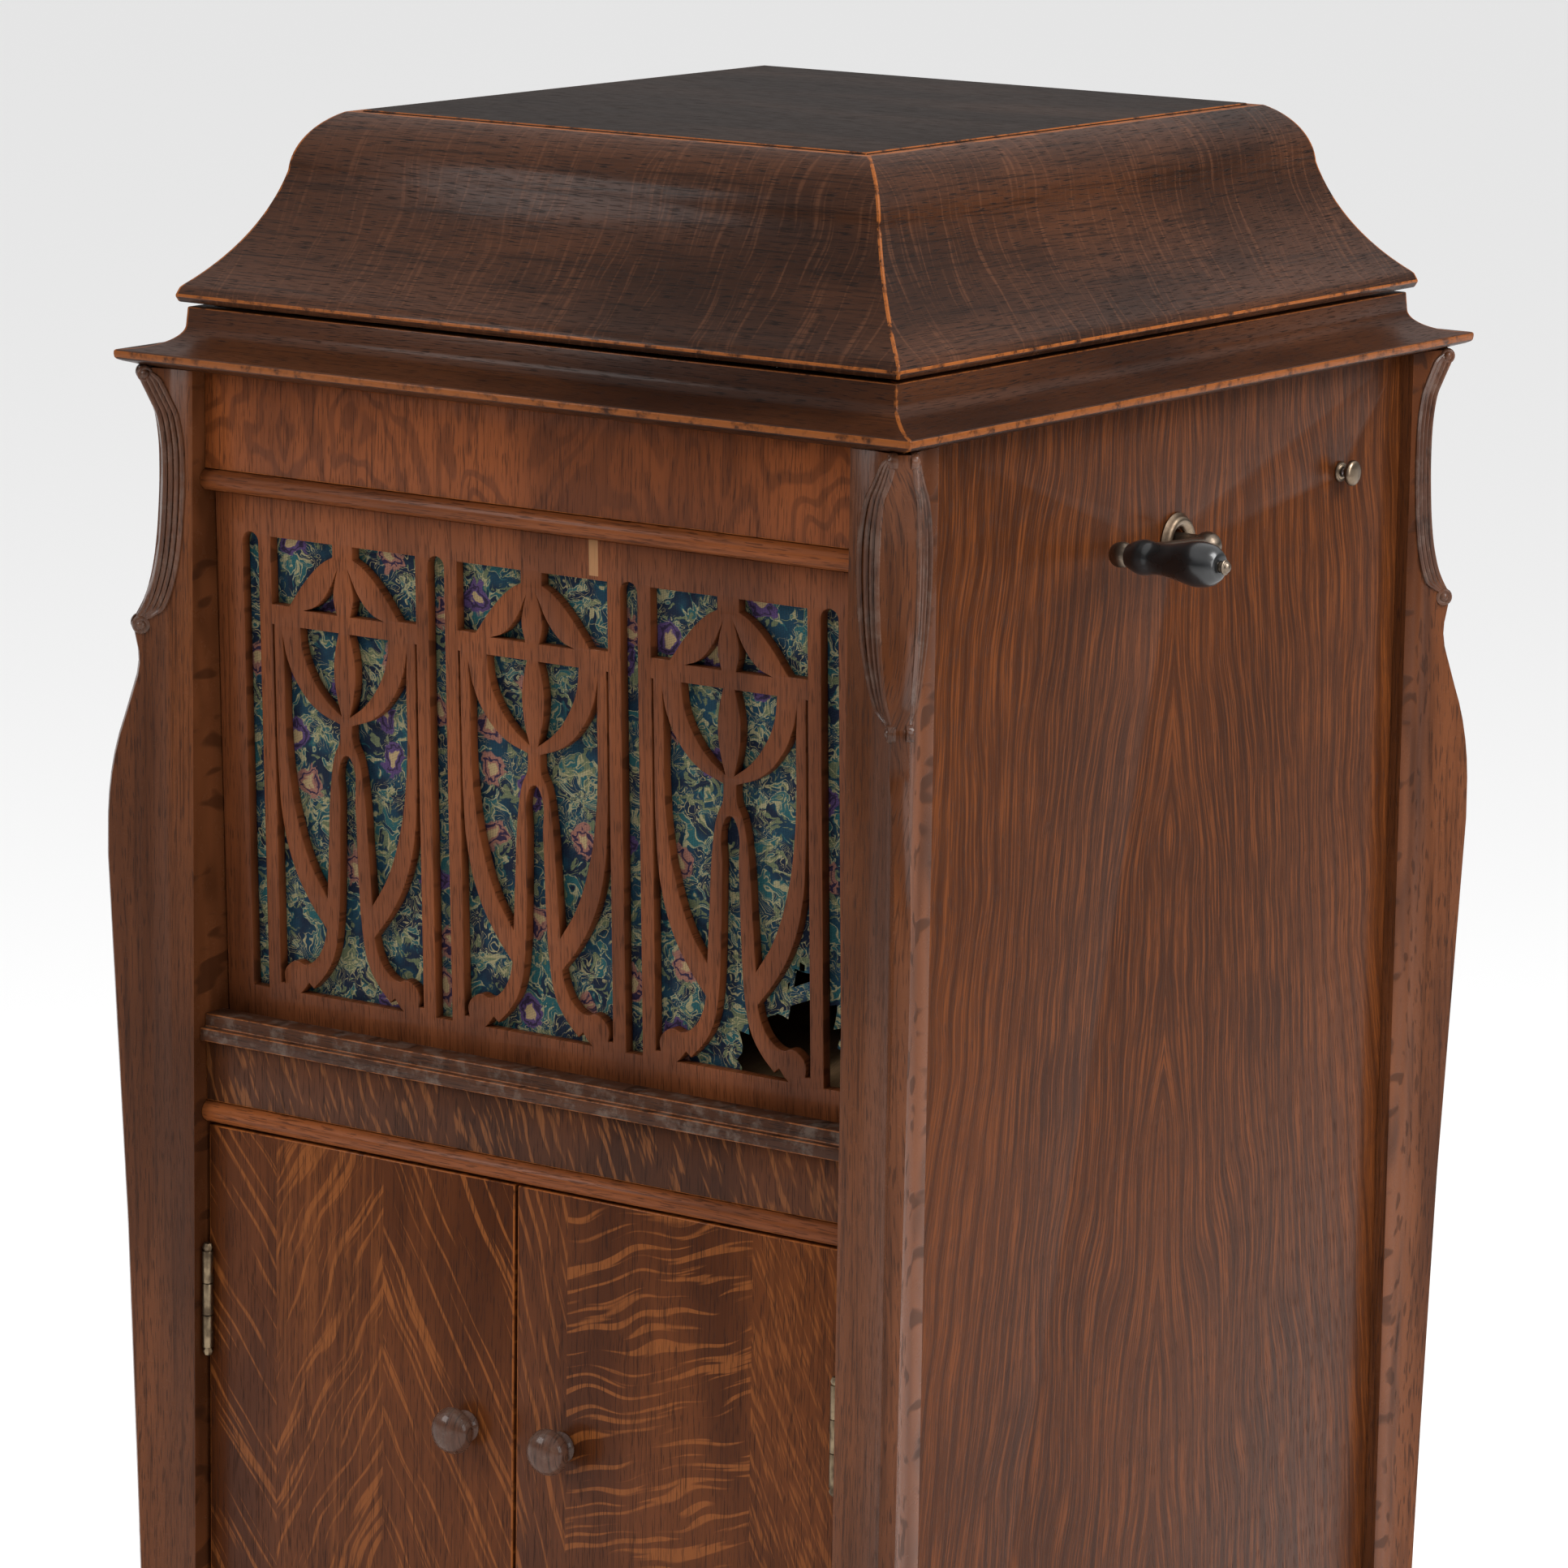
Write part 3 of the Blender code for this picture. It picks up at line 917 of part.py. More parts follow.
def motor():
    apex = bevel_apex()
    barrel = apex.to_2d()
    spindle = Vector((TABLE_X, TABLE_Y))
    third = third_shaft()
    plate_top, plate_low = MOTOR_BOARD_LOW - 9, MOTOR_BOARD_LOW - 15
    gear_height = BEVEL_PINION_TEETH * BEVEL_MODULE / 2
    drum_top = apex.z - gear_height - 7
    drum_low = drum_top - 38
    great_low = drum_low - 6
    bridge_top = great_low - 4
    bridge_low = bridge_top - 5
    wheel_z = plate_low - 10
    x0, x1 = spindle.x - 64, barrel.x + 40
    y0, y1 = barrel.y - 46, max(third.y + 14, barrel.y + 46)
    bores = [(barrel, 4.3), (third, 3.3), (spindle, SPINDLE_R + 0.3)]

    def slab(name, low, high):
        holes = [[(p[0], p[1]) for p in circle(radius, 12, centre)] for centre, radius in bores]
        return plate(name, [[(x0, y0), (x1, y0), (x1, y1), (x0, y1)]] + holes, high - low, "cast_iron", "XY",
                     (0, 0, (low + high) / 2))

    frame = slab("motor_frame", plate_low, plate_top)
    boolean(frame, slab("motor_bridge", bridge_low, bridge_top), "UNION")
    for x, y in ((x0 + 7, y0 + 7), (x1 - 7, y0 + 7), (x1 - 7, y1 - 7), (x0 + 7, y1 - 7)):
        pillar = rod("pillar", (x, y, bridge_low + 1), (x, y, MOTOR_BOARD_LOW - GAP), 4.5, "cast_iron", 8)
        boolean(frame, pillar, "UNION")

    pinion_heading = heading(apex, (apex.x + 1, apex.y))
    bevel_pitch = 2 * math.pi / BEVEL_TEETH
    arbor = bevel_wheel("winding_gear", BEVEL_TEETH, BEVEL_PINION_TEETH, "brass",
                        (barrel.x, barrel.y, apex.z), None, pinion_heading + bevel_pitch / 2)
    boolean(arbor, rod("arbor", (*barrel, bridge_low), (*barrel, plate_top - 2), 4.0, "steel"), "UNION")

    bore, wall, floor = 4.4, BARREL_R - 2, drum_low + 2
    cup = [(BARREL_R, drum_top), (BARREL_R, drum_low), (bore, drum_low), (bore, floor), (wall, floor),
           (wall, drum_top)]
    drum = turned("spring_barrel", cup, "brass", (*barrel, 0), steps=24)
    great = gear_outline(GREAT_TEETH, GREAT_TEETH * GREAT_MODULE / 2, 1.6, 2.3, heading(barrel, third))
    great_wheel = plate("great_wheel", [great, circle(bore, 12)], 6.6, "brass", "XY",
                        (*barrel, great_low + 3.3))
    boolean(drum, great_wheel, "UNION")
    turns = 3.5
    steps = int(turns * 12)
    ribbon = []
    for side in (0.0, 1.2):
        row = []
        for i in range(steps + 1):
            a = 2 * math.pi * turns * i / steps
            r = BARREL_R - 4.5 - side - (BARREL_R - 14) * i / steps
            row.append((r * math.cos(a), r * math.sin(a)))
        ribbon += row if side == 0 else row[::-1]
    plate("mainspring", [ribbon], drum_top - drum_low - 6, "steel", "XY",
          (*barrel, (drum_top + drum_low) / 2 + 1.5))

    wheel = gear_outline(WHEEL_TEETH, WHEEL_TEETH * WHEEL_MODULE / 2, 1.25, 1.8, heading(third, spindle))
    shaft = plate("intermediate_wheel", [wheel], 4.0, "brass", "XY", (*third, wheel_z))
    half = math.pi / PINION_TEETH
    leaves = gear_outline(PINION_TEETH, PINION_TEETH * GREAT_MODULE / 2, 1.5, 2.2, heading(third, barrel) + half)
    third_pinion = plate("third_pinion", [leaves], 9.0, "brass", "XY", (*third, great_low + 3))
    boolean(shaft, third_pinion, "UNION")
    third_arbor = rod("third_arbor", (*third, bridge_low + 1), (*third, plate_top - 1), 3.0, "steel", 8)
    boolean(shaft, third_arbor, "UNION")

    half = math.pi / SPINDLE_TEETH
    worm_z = drum_low + 14
    foot, tip = (*spindle, bridge_low + 1), (*spindle, TABLE_TOP + 11)
    shaft = rod("turntable_spindle", foot, tip, SPINDLE_R, "steel", 12,
                (*spindle, TABLE_LOW))
    pinion = plate("spindle_pinion", [gear_outline(SPINDLE_TEETH, SPINDLE_TEETH * WHEEL_MODULE / 2, 1.2, 1.8,
                                                   heading(spindle, third) + half)], 8.0, "steel", "XY",
                   (*spindle, wheel_z))
    boolean(shaft, pinion, "UNION")
    boolean(shaft, plate("worm_wheel", [gear_outline(14, WORM_WHEEL_R, 1.2, 1.8)], 6.0, "brass", "XY",
                         (*spindle, worm_z)), "UNION")

    gap = WORM_WHEEL_R + 1.2 + WORM_R + 0.6
    centre = (spindle.x - 18, spindle.y - gap, worm_z)
    worm = [(0, 52)] + [(2.2, 52), (2.2, 28)]
    for i in range(3):
        z = 26 - i * 6
        worm += [(WORM_R, z), (WORM_R, z - 3), (2.8, z - 3.6), (2.8, z - 5.4)]
    worm += [(2.2, 6), (5, 5.5), (5, 0), (2.2, -0.5), (2.2, -26), (14, -26.5), (14, -29), (2.2, -29.5),
             (2.2, -34), (0, -34)]
    governor = turned("governor", worm, "brass", centre, (0, 90, 0), 12)
    for i in range(3):
        a = 2 * math.pi * i / 3 + 0.2
        out = Vector((0, math.cos(a), math.sin(a)))
        weight = Vector(centre) + Vector((-13, 0, 0)) + out * 9.5
        for along, radius in ((2, 3.5), (-27, 7.1)):
            end = Vector(centre) + Vector((along, 0, 0)) + out * radius
            start = weight + (end - weight).normalized() * 1.6
            boolean(governor, rod("fly_spring", start, end, 0.9, "steel", 6), "UNION")
        boolean(governor, ball("fly_weight", weight, 4.0, "brass", segments=8), "UNION")
    for x in (centre[0] - 35.5, centre[0] + 45):
        low, high = (x, centre[1] - 5, worm_z - 6), (x + 5, centre[1] + 5, plate_low + 1)
        boolean(frame, box("governor_bearing", low, high, "brass"), "UNION")
    low, high = (centre[0] - 40, centre[1], worm_z), (centre[0] + 56, centre[1], worm_z)
    boolean(frame, rod("bearing_bore", low, high, 2.6, "brass", 12))


carcase()
inside_boards()
grille()
doors()
lid()
lid_stay()
horn()
throat()
tone_control()
tonearm()
turntable()
brake()
speed_control()
crank()
motor()
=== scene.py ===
# %% [markdown]
# # A wind-up phonograph in quarter-sawn oak
# The cabinet, the motor and the tonearm come from a packed model whose pieces already have the right size
# and place. This lesson gives each piece its finish and adds the fine detail: rounded edges, carved ribs,
# a fret with its brocade cloth, turned knobs, and the fittings under the lid.

# %% Load the packed model
import json
import math
import random

import bmesh
import bpy
from mathutils import Matrix, Vector

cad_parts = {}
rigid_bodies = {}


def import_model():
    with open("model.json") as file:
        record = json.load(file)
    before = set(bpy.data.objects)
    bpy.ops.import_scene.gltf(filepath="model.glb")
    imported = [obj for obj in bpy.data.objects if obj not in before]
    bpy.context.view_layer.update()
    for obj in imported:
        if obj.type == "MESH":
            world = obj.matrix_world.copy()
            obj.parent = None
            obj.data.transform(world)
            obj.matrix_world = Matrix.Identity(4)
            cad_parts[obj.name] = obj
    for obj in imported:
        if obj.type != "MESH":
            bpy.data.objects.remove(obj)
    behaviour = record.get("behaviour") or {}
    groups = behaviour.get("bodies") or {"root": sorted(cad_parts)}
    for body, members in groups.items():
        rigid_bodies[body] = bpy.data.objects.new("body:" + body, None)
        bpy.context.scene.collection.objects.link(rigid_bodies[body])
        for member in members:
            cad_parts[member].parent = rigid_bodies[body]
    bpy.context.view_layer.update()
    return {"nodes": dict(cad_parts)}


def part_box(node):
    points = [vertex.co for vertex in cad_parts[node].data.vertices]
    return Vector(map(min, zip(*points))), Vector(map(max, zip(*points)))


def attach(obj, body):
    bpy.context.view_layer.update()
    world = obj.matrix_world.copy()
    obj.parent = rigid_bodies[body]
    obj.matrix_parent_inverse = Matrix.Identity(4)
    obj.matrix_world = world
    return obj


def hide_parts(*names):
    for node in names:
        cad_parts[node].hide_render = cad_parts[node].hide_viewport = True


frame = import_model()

MM = 0.001
low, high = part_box("cornice")
CENTRE = (low[0] + high[0]) / 2
HALF_W = (high[0] - low[0]) / 2
HALF_D = (high[1] - low[1]) / 2
TIP_Z = 1.108
print("cabinet centre", round(CENTRE, 5), "half sizes", round(HALF_W, 4), round(HALF_D, 4))


def at(x, y, z):
    """A point given in millimetres from the cabinet's centre line on the floor."""
    return Vector((CENTRE + x * MM, y * MM, z * MM))


# %% [markdown]
# ## Camera, light and floor
# A long lens keeps the cabinet's edges nearly parallel. It stands to the right of the front and looks a
# little down. The light is a white dome with a big soft panel from the front left and one from the right,
# as in a studio that is lit for a catalogue.

# %% Camera
YAW, PITCH, ROLL = (math.radians(a) for a in (35.239, 11.208, 0.843))
forward = Vector((-math.sin(YAW) * math.cos(PITCH), math.cos(YAW) * math.cos(PITCH), -math.sin(PITCH)))
level = Vector((math.cos(YAW), math.sin(YAW), 0))
upright = level.cross(forward)
right = math.cos(ROLL) * level + math.sin(ROLL) * upright
up = math.cos(ROLL) * upright - math.sin(ROLL) * level
eye = Vector((CENTRE + 2.2996, -3.2736, TIP_Z + 0.5221))
lens = bpy.data.cameras.new("lens")
lens.lens = 153.2
lens.sensor_width = 36.0
lens.clip_end = 200.0
camera = bpy.data.objects.new("camera", lens)
camera.matrix_world = Matrix.Translation(eye) @ Matrix((right, up, -forward)).transposed().to_4x4()
bpy.context.scene.collection.objects.link(camera)
bpy.context.scene.camera = camera
print("camera:", round(bpy.context.scene.camera.data.lens, 1), "mm lens")

# %% Light
sky = bpy.data.worlds.new("studio")
sky.use_nodes = True
backdrop = sky.node_tree.nodes["Background"]
backdrop.inputs["Color"].default_value = (1.0, 1.0, 1.0, 1.0)
height = sky.node_tree.nodes.new("ShaderNodeSeparateXYZ")
dome = sky.node_tree.nodes.new("ShaderNodeMapRange")
dome.interpolation_type = "SMOOTHSTEP"
for socket, value in zip(dome.inputs[1:5], (0.05, 0.75, 0.12, 1.05)):
    socket.default_value = value
direction = sky.node_tree.nodes.new("ShaderNodeTexCoord")
sky.node_tree.links.new(direction.outputs["Generated"], height.inputs[0])
sky.node_tree.links.new(height.outputs["Z"], dome.inputs[0])
sky.node_tree.links.new(dome.outputs[0], backdrop.inputs["Strength"])
bpy.context.scene.world = sky
bpy.context.scene.view_settings.view_transform = "Standard"


def soft_panel(name, place, aim, size, power):
    light = bpy.data.lights.new(name, "AREA")
    light.shape, light.size, light.energy = "SQUARE", size, power
    lamp = bpy.data.objects.new(name, light)
    lamp.location = place
    lamp.rotation_euler = (Vector(aim) - Vector(place)).to_track_quat("-Z", "Y").to_euler()
    bpy.context.scene.collection.objects.link(lamp)


soft_panel("left_panel", (-2.6, -3.2, 2.6), (0, 0, 0.8), 1.8, 70)
soft_panel("right_panel", (4.2, -0.9, 2.0), (0, 0, 0.6), 2.2, 60)
soft_panel("top_panel", (2.7, 0.5, 3.3), (0, 0, 1.1), 1.8, 110)
print("lights:", [light.name for light in bpy.data.lights])

# %% [markdown]
# ## Writing materials as sums
# A node tree is easier to read as arithmetic. `Value` wraps a socket, so that `1 - grain * 0.5` adds its
# Math nodes. `Finish` starts a material, and its one method `node` adds any other node.

# %% Shader arithmetic
class Value:
    """A shader socket that can be used in sums."""

    def __init__(self, finish, socket):
        self.finish, self.socket = finish, socket

    def maths(self, operation, *others):
        return self.finish.node("Math", {"operation": operation}, dict(enumerate((self, *others))))

    def __add__(self, other):
        return self.maths("ADD", other)

    def __sub__(self, other):
        return self.maths("SUBTRACT", other)

    def __mul__(self, other):
        return self.maths("MULTIPLY", other)

    def __truediv__(self, other):
        return self.maths("DIVIDE", other)

    def __rsub__(self, other):
        return self.finish.node("Math", {"operation": "SUBTRACT"}, {0: other, 1: self})

    def __gt__(self, other):
        return self.maths("GREATER_THAN", other)

    def __lt__(self, other):
        return self.maths("LESS_THAN", other)

    def __abs__(self):
        return self.maths("ABSOLUTE")

    __radd__ = __add__
    __rmul__ = __mul__


class Finish:
    """One material and its node tree."""

    def __init__(self, name):
        self.material = bpy.data.materials.new(name)
        self.material.use_nodes = True
        self.tree = self.material.node_tree
        self.shader = self.tree.nodes["Principled BSDF"]
        self.axes = None

    def node(self, kind, settings, sockets, output=0):
        """Adds a node: its settings first, then the values or links of its inputs."""
        made = self.tree.nodes.new("ShaderNode" + kind)
        for key, value in settings.items():
            if key == "stops":
                ramp = made.color_ramp
                while len(ramp.elements) < len(value):
                    ramp.elements.new(0.5)
                for stop, (place, colour) in zip(ramp.elements, value):
                    stop.position, stop.color = place, (*colour, 1.0)
            else:
                setattr(made, key, value)
        for key, value in sockets.items():
            self.plug(made.inputs[key], value)
        return Value(self, made.outputs[output])

    def plug(self, socket, value):
        if isinstance(value, Value):
            self.tree.links.new(value.socket, socket)
        elif isinstance(value, tuple) and len(value) == 3 and socket.type == "RGBA":
            socket.default_value = (*value, 1.0)
        else:
            socket.default_value = value

    def set(self, **sockets):
        for key, value in sockets.items():
            self.plug(self.shader.inputs[key.replace("_", " ")], value)
        return self.material

    def place(self):
        """Object coordinates as three values, in metres."""
        if self.axes is None:
            spot = self.node("TexCoord", {}, {}, 3)
            self.axes = [self.node("SeparateXYZ", {}, {0: spot}, i) for i in range(3)]
        return self.axes

    def vector(self, x, y, z=0.0):
        return self.node("CombineXYZ", {}, {0: x, 1: y, 2: z})

    def noise(self, x, y, z=0.0, detail=2.0, roughness=0.5, distortion=0.0):
        return self.node("TexNoise", {}, {"Vector": self.vector(x, y, z), "Scale": 1.0, "Detail": detail,
                                          "Roughness": roughness, "Distortion": distortion})

    def soft(self, value, start, end):
        """0 below start, 1 above end, and a smooth step between."""
        return self.node("MapRange", {"interpolation_type": "SMOOTHSTEP"}, {0: value, 1: start, 2: end})

    def mix(self, share, below, above, how="MIX"):
        return self.node("Mix", {"data_type": "RGBA", "blend_type": how}, {0: share, 6: below, 7: above}, 2)

    def bump(self, height, strength, distance):
        return self.node("Bump", {}, {"Strength": strength, "Distance": distance, "Height": height})

    def attribute(self, name):
        return self.node("Attribute", {"attribute_name": name}, {}, 2)


def darker(colour, share):
    return tuple(channel * share for channel in colour)


print("Finish ready, with", len(vars(Finish)), "members")

# %% [markdown]
# ## Oak
# Quarter-sawn oak shows two patterns at once. Fine dark pores run with the grain, and pale ray flecks
# cross it like slanting flames, because the cut follows the rays of the log. A fleck is one noise that is
# stretched far along its own direction and cut off at a threshold. Each veneer strip of a door has its
# own slant, so a figure can be limited to a strip. The edges of a handled cabinet are rubbed through to a
# lighter orange: each rounded edge carries a face attribute named worn, and the finish breaks it up with
# noise.

# %% The oak finish
WORN = (0.30, 0.088, 0.018)
INLAY_X, INLAY_LOW = (42.0, 48.5), 1006.0  # a pale repair let into the fret's top rail, in millimetres


def fleck(f, across, run, size, angle, seed, sharp=(0.56, 0.62), bend=0.0):
    """A mask of ray flecks. size is (length, thickness) in metres, angle is their slant from level."""
    c, s = math.cos(math.radians(angle)), math.sin(math.radians(angle))
    along = across * c + run * s
    over = run * c - across * s
    if bend:
        over = over + f.noise(across * 16, run * 16, seed + 5.0, 1.0) * bend
    mask = f.noise(along / size[0], over / size[1], seed, 2.0, 0.45, 0.25)
    return f.soft(mask, *sharp)


def oak(name, dark, light, axes="XZ", figures=(), pores=0.55, gloss=0.34, coat=0.06, worn=0.8, lines=0.4,
        on_surface=False, mitre=False, flame=0.0, flame_colour=None, grey=0.0, inlay=False):
    """axes are the object's axes across and with the grain; on_surface takes them from the UV map instead."""
    f = Finish(name)
    spot = dict(zip("XYZ", f.place()))
    if on_surface:
        flat = f.node("UVMap", {"uv_map": "grain"}, {})
        across = f.node("SeparateXYZ", {}, {0: flat}, 1)
        run = f.node("SeparateXYZ", {}, {0: flat}, 0)
        depth = 0.0
    else:
        across, run = spot[axes[0]], spot[axes[1]]
        depth = spot[next(a for a in "XYZ" if a not in axes)]
    drift = depth * 30.0 if on_surface is False else 0.0
    wave = across + f.noise(across * 6, run * 2.5, 2.0, 1.0) * 0.012
    tone = f.noise(across * 11, run * 2.6, drift, 3.0, 0.55)
    colour = f.mix(f.soft(tone, 0.34, 0.66), dark, light)
    if flame:
        ring = f.noise(across * 17, run * 7.5, 4.0, 2.0, 0.5, 0.35) * 11
        ring = f.node("Math", {"operation": "PINGPONG"}, {0: ring, 1: 0.5}) * 2
        colour = f.mix(f.soft(ring, 0.45, 0.8) * flame, colour, flame_colour)
    for figure in figures:
        mask = fleck(f, across, run, *figure["shape"])
        if "strip" in figure:
            start, end = (CENTRE + edge * MM for edge in figure["strip"])
            mask = mask * (across > start) * (across < end)
        colour = f.mix(mask * figure["amount"], colour, figure["colour"])
    fine = f.noise(wave * 520, run * 11, drift, 2.0, 0.6)
    colour = f.mix(f.soft(fine, 0.46, 0.72) * lines, colour, darker(dark, 0.55))
    pore = f.soft(f.noise(wave * 1500, run * 75, drift, 1.0), 0.57, 0.66)
    colour = f.mix(pore * pores, colour, darker(dark, 0.22))
    patch = f.noise(spot["X"] * 85, spot["Y"] * 85, spot["Z"] * 85, 4.0, 0.7)
    if worn:
        edge = f.attribute("worn") * f.soft(patch, 0.32, 0.54)
        if mitre:
            side = abs(abs(spot["X"] - CENTRE) - abs(spot["Y"]) + (HALF_D - HALF_W))
            edge = edge.maths("MAXIMUM", (side < 0.0016) * f.soft(patch, 0.40, 0.52))
        colour = f.mix(edge * worn, colour, WORN)
    if grey:
        colour = f.mix(f.soft(patch, 0.45, 0.7) * grey, colour, (0.21, 0.17, 0.14))
    if inlay:
        low, high = (CENTRE + edge * MM for edge in INLAY_X)
        mask = (across > low) * (across < high) * (run > INLAY_LOW * MM)
        colour = f.mix(mask * 0.75, colour, (0.33, 0.17, 0.075))
    rough = gloss + pore * 0.2 + (patch - 0.5) * 0.16
    relief = 1 - pore * 0.8 - f.soft(fine, 0.45, 0.8) * 0.3
    return f.set(Base_Color=colour, Roughness=rough, Specular_IOR_Level=0.08, Coat_Weight=coat,
                 Coat_Roughness=0.12, Normal=f.bump(relief, 0.35, 0.0004))


print("oak worn to", WORN)

# %% The oak of each part of the cabinet
DARK, LIGHT = (0.050, 0.0135, 0.0040), (0.105, 0.030, 0.0085)
FLECK = (0.225, 0.070, 0.017)

OAK = {
    "post": oak("post_oak", (0.060, 0.0185, 0.0065), (0.128, 0.041, 0.0145), "XZ", lines=0.7, gloss=0.26,
                coat=0.14, worn=0.40),
    "frieze": oak("frieze_oak", (0.110, 0.029, 0.0078), (0.19, 0.051, 0.0135), "XZ", flame=0.5, lines=0.55,
                  flame_colour=(0.058, 0.016, 0.0055)),
    "bead": oak("bead_oak", (0.100, 0.028, 0.009), (0.21, 0.060, 0.017), "ZX", lines=0.5),
    "fret": oak("fret_oak", (0.092, 0.027, 0.0095), (0.180, 0.053, 0.0175), "XZ", lines=0.6, gloss=0.36,
                coat=0.06, worn=0.45, inlay=True),
    "ledge": oak("ledge_oak", (0.030, 0.013, 0.008), (0.062, 0.024, 0.012), "ZX", worn=0.6, grey=0.30),
    "low_frieze": oak("low_frieze_oak", (0.036, 0.0115, 0.0045), (0.075, 0.023, 0.008), "XZ", [
        {"shape": ((0.030, 0.0040), 112, 3.0, (0.53, 0.62), 0.01), "amount": 0.7,
         "colour": (0.175, 0.060, 0.018)}]),
    "door_left": oak("left_door_oak", DARK, LIGHT, "XZ", [
        {"shape": ((0.110, 0.0046), -52, 3.0, (0.54, 0.62), 0.01), "amount": 0.68, "colour": FLECK,
         "strip": (-240, -181)},
        {"shape": ((0.16, 0.0035), 88, 8.0, (0.47, 0.66), 0.0), "amount": 0.55,
         "colour": (0.165, 0.050, 0.0125),
         "strip": (-181, -99)},
        {"shape": ((0.085, 0.0048), 62, 17.0, (0.545, 0.62), 0.02), "amount": 0.68, "colour": FLECK,
         "strip": (-181, -99)},
        {"shape": ((0.12, 0.0042), -60, 23.0, (0.55, 0.63), 0.01), "amount": 0.75, "colour": FLECK,
         "strip": (-99, 0)}]),
    "door_right": oak("right_door_oak", DARK, LIGHT, "XZ", [
        {"shape": ((0.10, 0.0042), -74, 31.0, (0.53, 0.62), 0.01), "amount": 0.65, "colour": FLECK,
         "strip": (0, 38)},
        {"shape": ((0.080, 0.0052), 17, 37.0, (0.535, 0.60), 0.028), "amount": 0.72, "colour": FLECK,
         "strip": (38, 170)},
        {"shape": ((0.030, 0.0028), -66, 43.0, (0.50, 0.62), 0.01), "amount": 0.6, "colour": FLECK,
         "strip": (170, 240)}]),
}


def side_oak(name):
    """Book-matched veneer: both halves are the same streaks, mirrored about the middle of the panel."""
    f = Finish(name)
    x, y, z = f.place()
    across = abs(y - 0.004)
    lean = across + z * 0.11 + f.noise(across * 7, z * 5, 1.0, 2.0) * 0.055
    broad = f.noise(across * 5, z * 2.2, 7.0, 2.0)
    colour = f.mix(f.soft(broad, 0.35, 0.7), (0.036, 0.0100, 0.0028), (0.072, 0.0205, 0.0060))
    streak = f.noise(lean * 520, z * 15, 5.0, 3.0, 0.6, 0.2)
    colour = f.mix(f.soft(streak, 0.42, 0.66) * 0.66, colour, (0.150, 0.042, 0.0100))
    cathedral = f.node("Math", {"operation": "PINGPONG"}, {0: lean * 62, 1: 0.5}) * 2
    colour = f.mix(f.soft(cathedral, 0.50, 1.0) * 0.6, colour, (0.026, 0.008, 0.0030))
    pore = f.soft(f.noise(lean * 1300, z * 70, 9.0, 1.0), 0.57, 0.66)
    colour = f.mix(pore * 0.5, colour, (0.03, 0.012, 0.007))
    patch = f.noise(x * 55, y * 55, z * 55, 3.0, 0.65)
    colour = f.mix(f.attribute("worn") * f.soft(patch, 0.42, 0.6) * 0.7, colour, WORN)
    return f.set(Base_Color=colour, Roughness=0.33 + pore * 0.2 + (patch - 0.5) * 0.12, Coat_Weight=0.06,
                 Specular_IOR_Level=0.08, Coat_Roughness=0.14, Normal=f.bump(1 - pore, 0.3, 0.0004))


OAK["side"] = side_oak("side_panel_oak")
OAK["lid"] = oak("lid_oak", (0.020, 0.0070, 0.0031), (0.058, 0.0205, 0.0088), on_surface=True, mitre=True,
                 pores=0.8, lines=0.7, gloss=0.30, coat=0.05, figures=[
    {"shape": ((0.070, 0.0030), 4, 3.0, (0.52, 0.70), 0.02), "amount": 0.34,
     "colour": (0.125, 0.048, 0.022)}])
OAK["cornice"] = oak("cornice_oak", (0.022, 0.0075, 0.0035), (0.068, 0.0225, 0.0085), on_surface=True,
                     mitre=True, pores=0.7, worn=0.6)
OAK["top"] = oak("top_oak", (0.016, 0.0095, 0.0072), (0.031, 0.0175, 0.0125), "YX", pores=0.5, gloss=0.46,
                 coat=0.0)
OAK["inside"] = oak("inside_oak", (0.10, 0.038, 0.016), (0.17, 0.07, 0.03), "YX", gloss=0.45, worn=0.3)
OAK["pine"] = oak("pine_board", (0.24, 0.14, 0.07), (0.36, 0.23, 0.12), "XZ", pores=0.15, gloss=0.7,
                  coat=0.0, worn=0.0)
print(len(OAK), "oak finishes")

# %% [markdown]
# ## Metal, felt, cloth and lacquer
# Old brass and nickel are never one colour: they are brown in the hollows, bright where hands rub them,
# and their gloss changes with the tarnish. The grille cloth is a brocade, in which coloured threads make
# curling leaves and flowers on a blue-green ground. Its leaves are the contour bands of a slow noise, its
# flowers are Voronoi cells with petals, and the weave is two fine waves that cross.

# %% Metal finishes
def metal(name, colour, tarnish, amount, rough, size=90.0, metallic=1.0):
    f = Finish(name)
    x, y, z = f.place()
    cloud = f.noise(x * size, y * size, z * size, 4.0, 0.6)
    scratch = f.noise(x * size * 9, y * size * 2, z * size * 9, 1.0)
    mask = f.soft(cloud, 0.38, 0.66) * amount
    tone = f.mix(mask, colour, tarnish)
    return f.set(Base_Color=tone, Metallic=metallic, Roughness=rough + mask * 0.25 + (scratch - 0.5) * 0.18,
                 Normal=f.bump(cloud, 0.12, 0.0003))


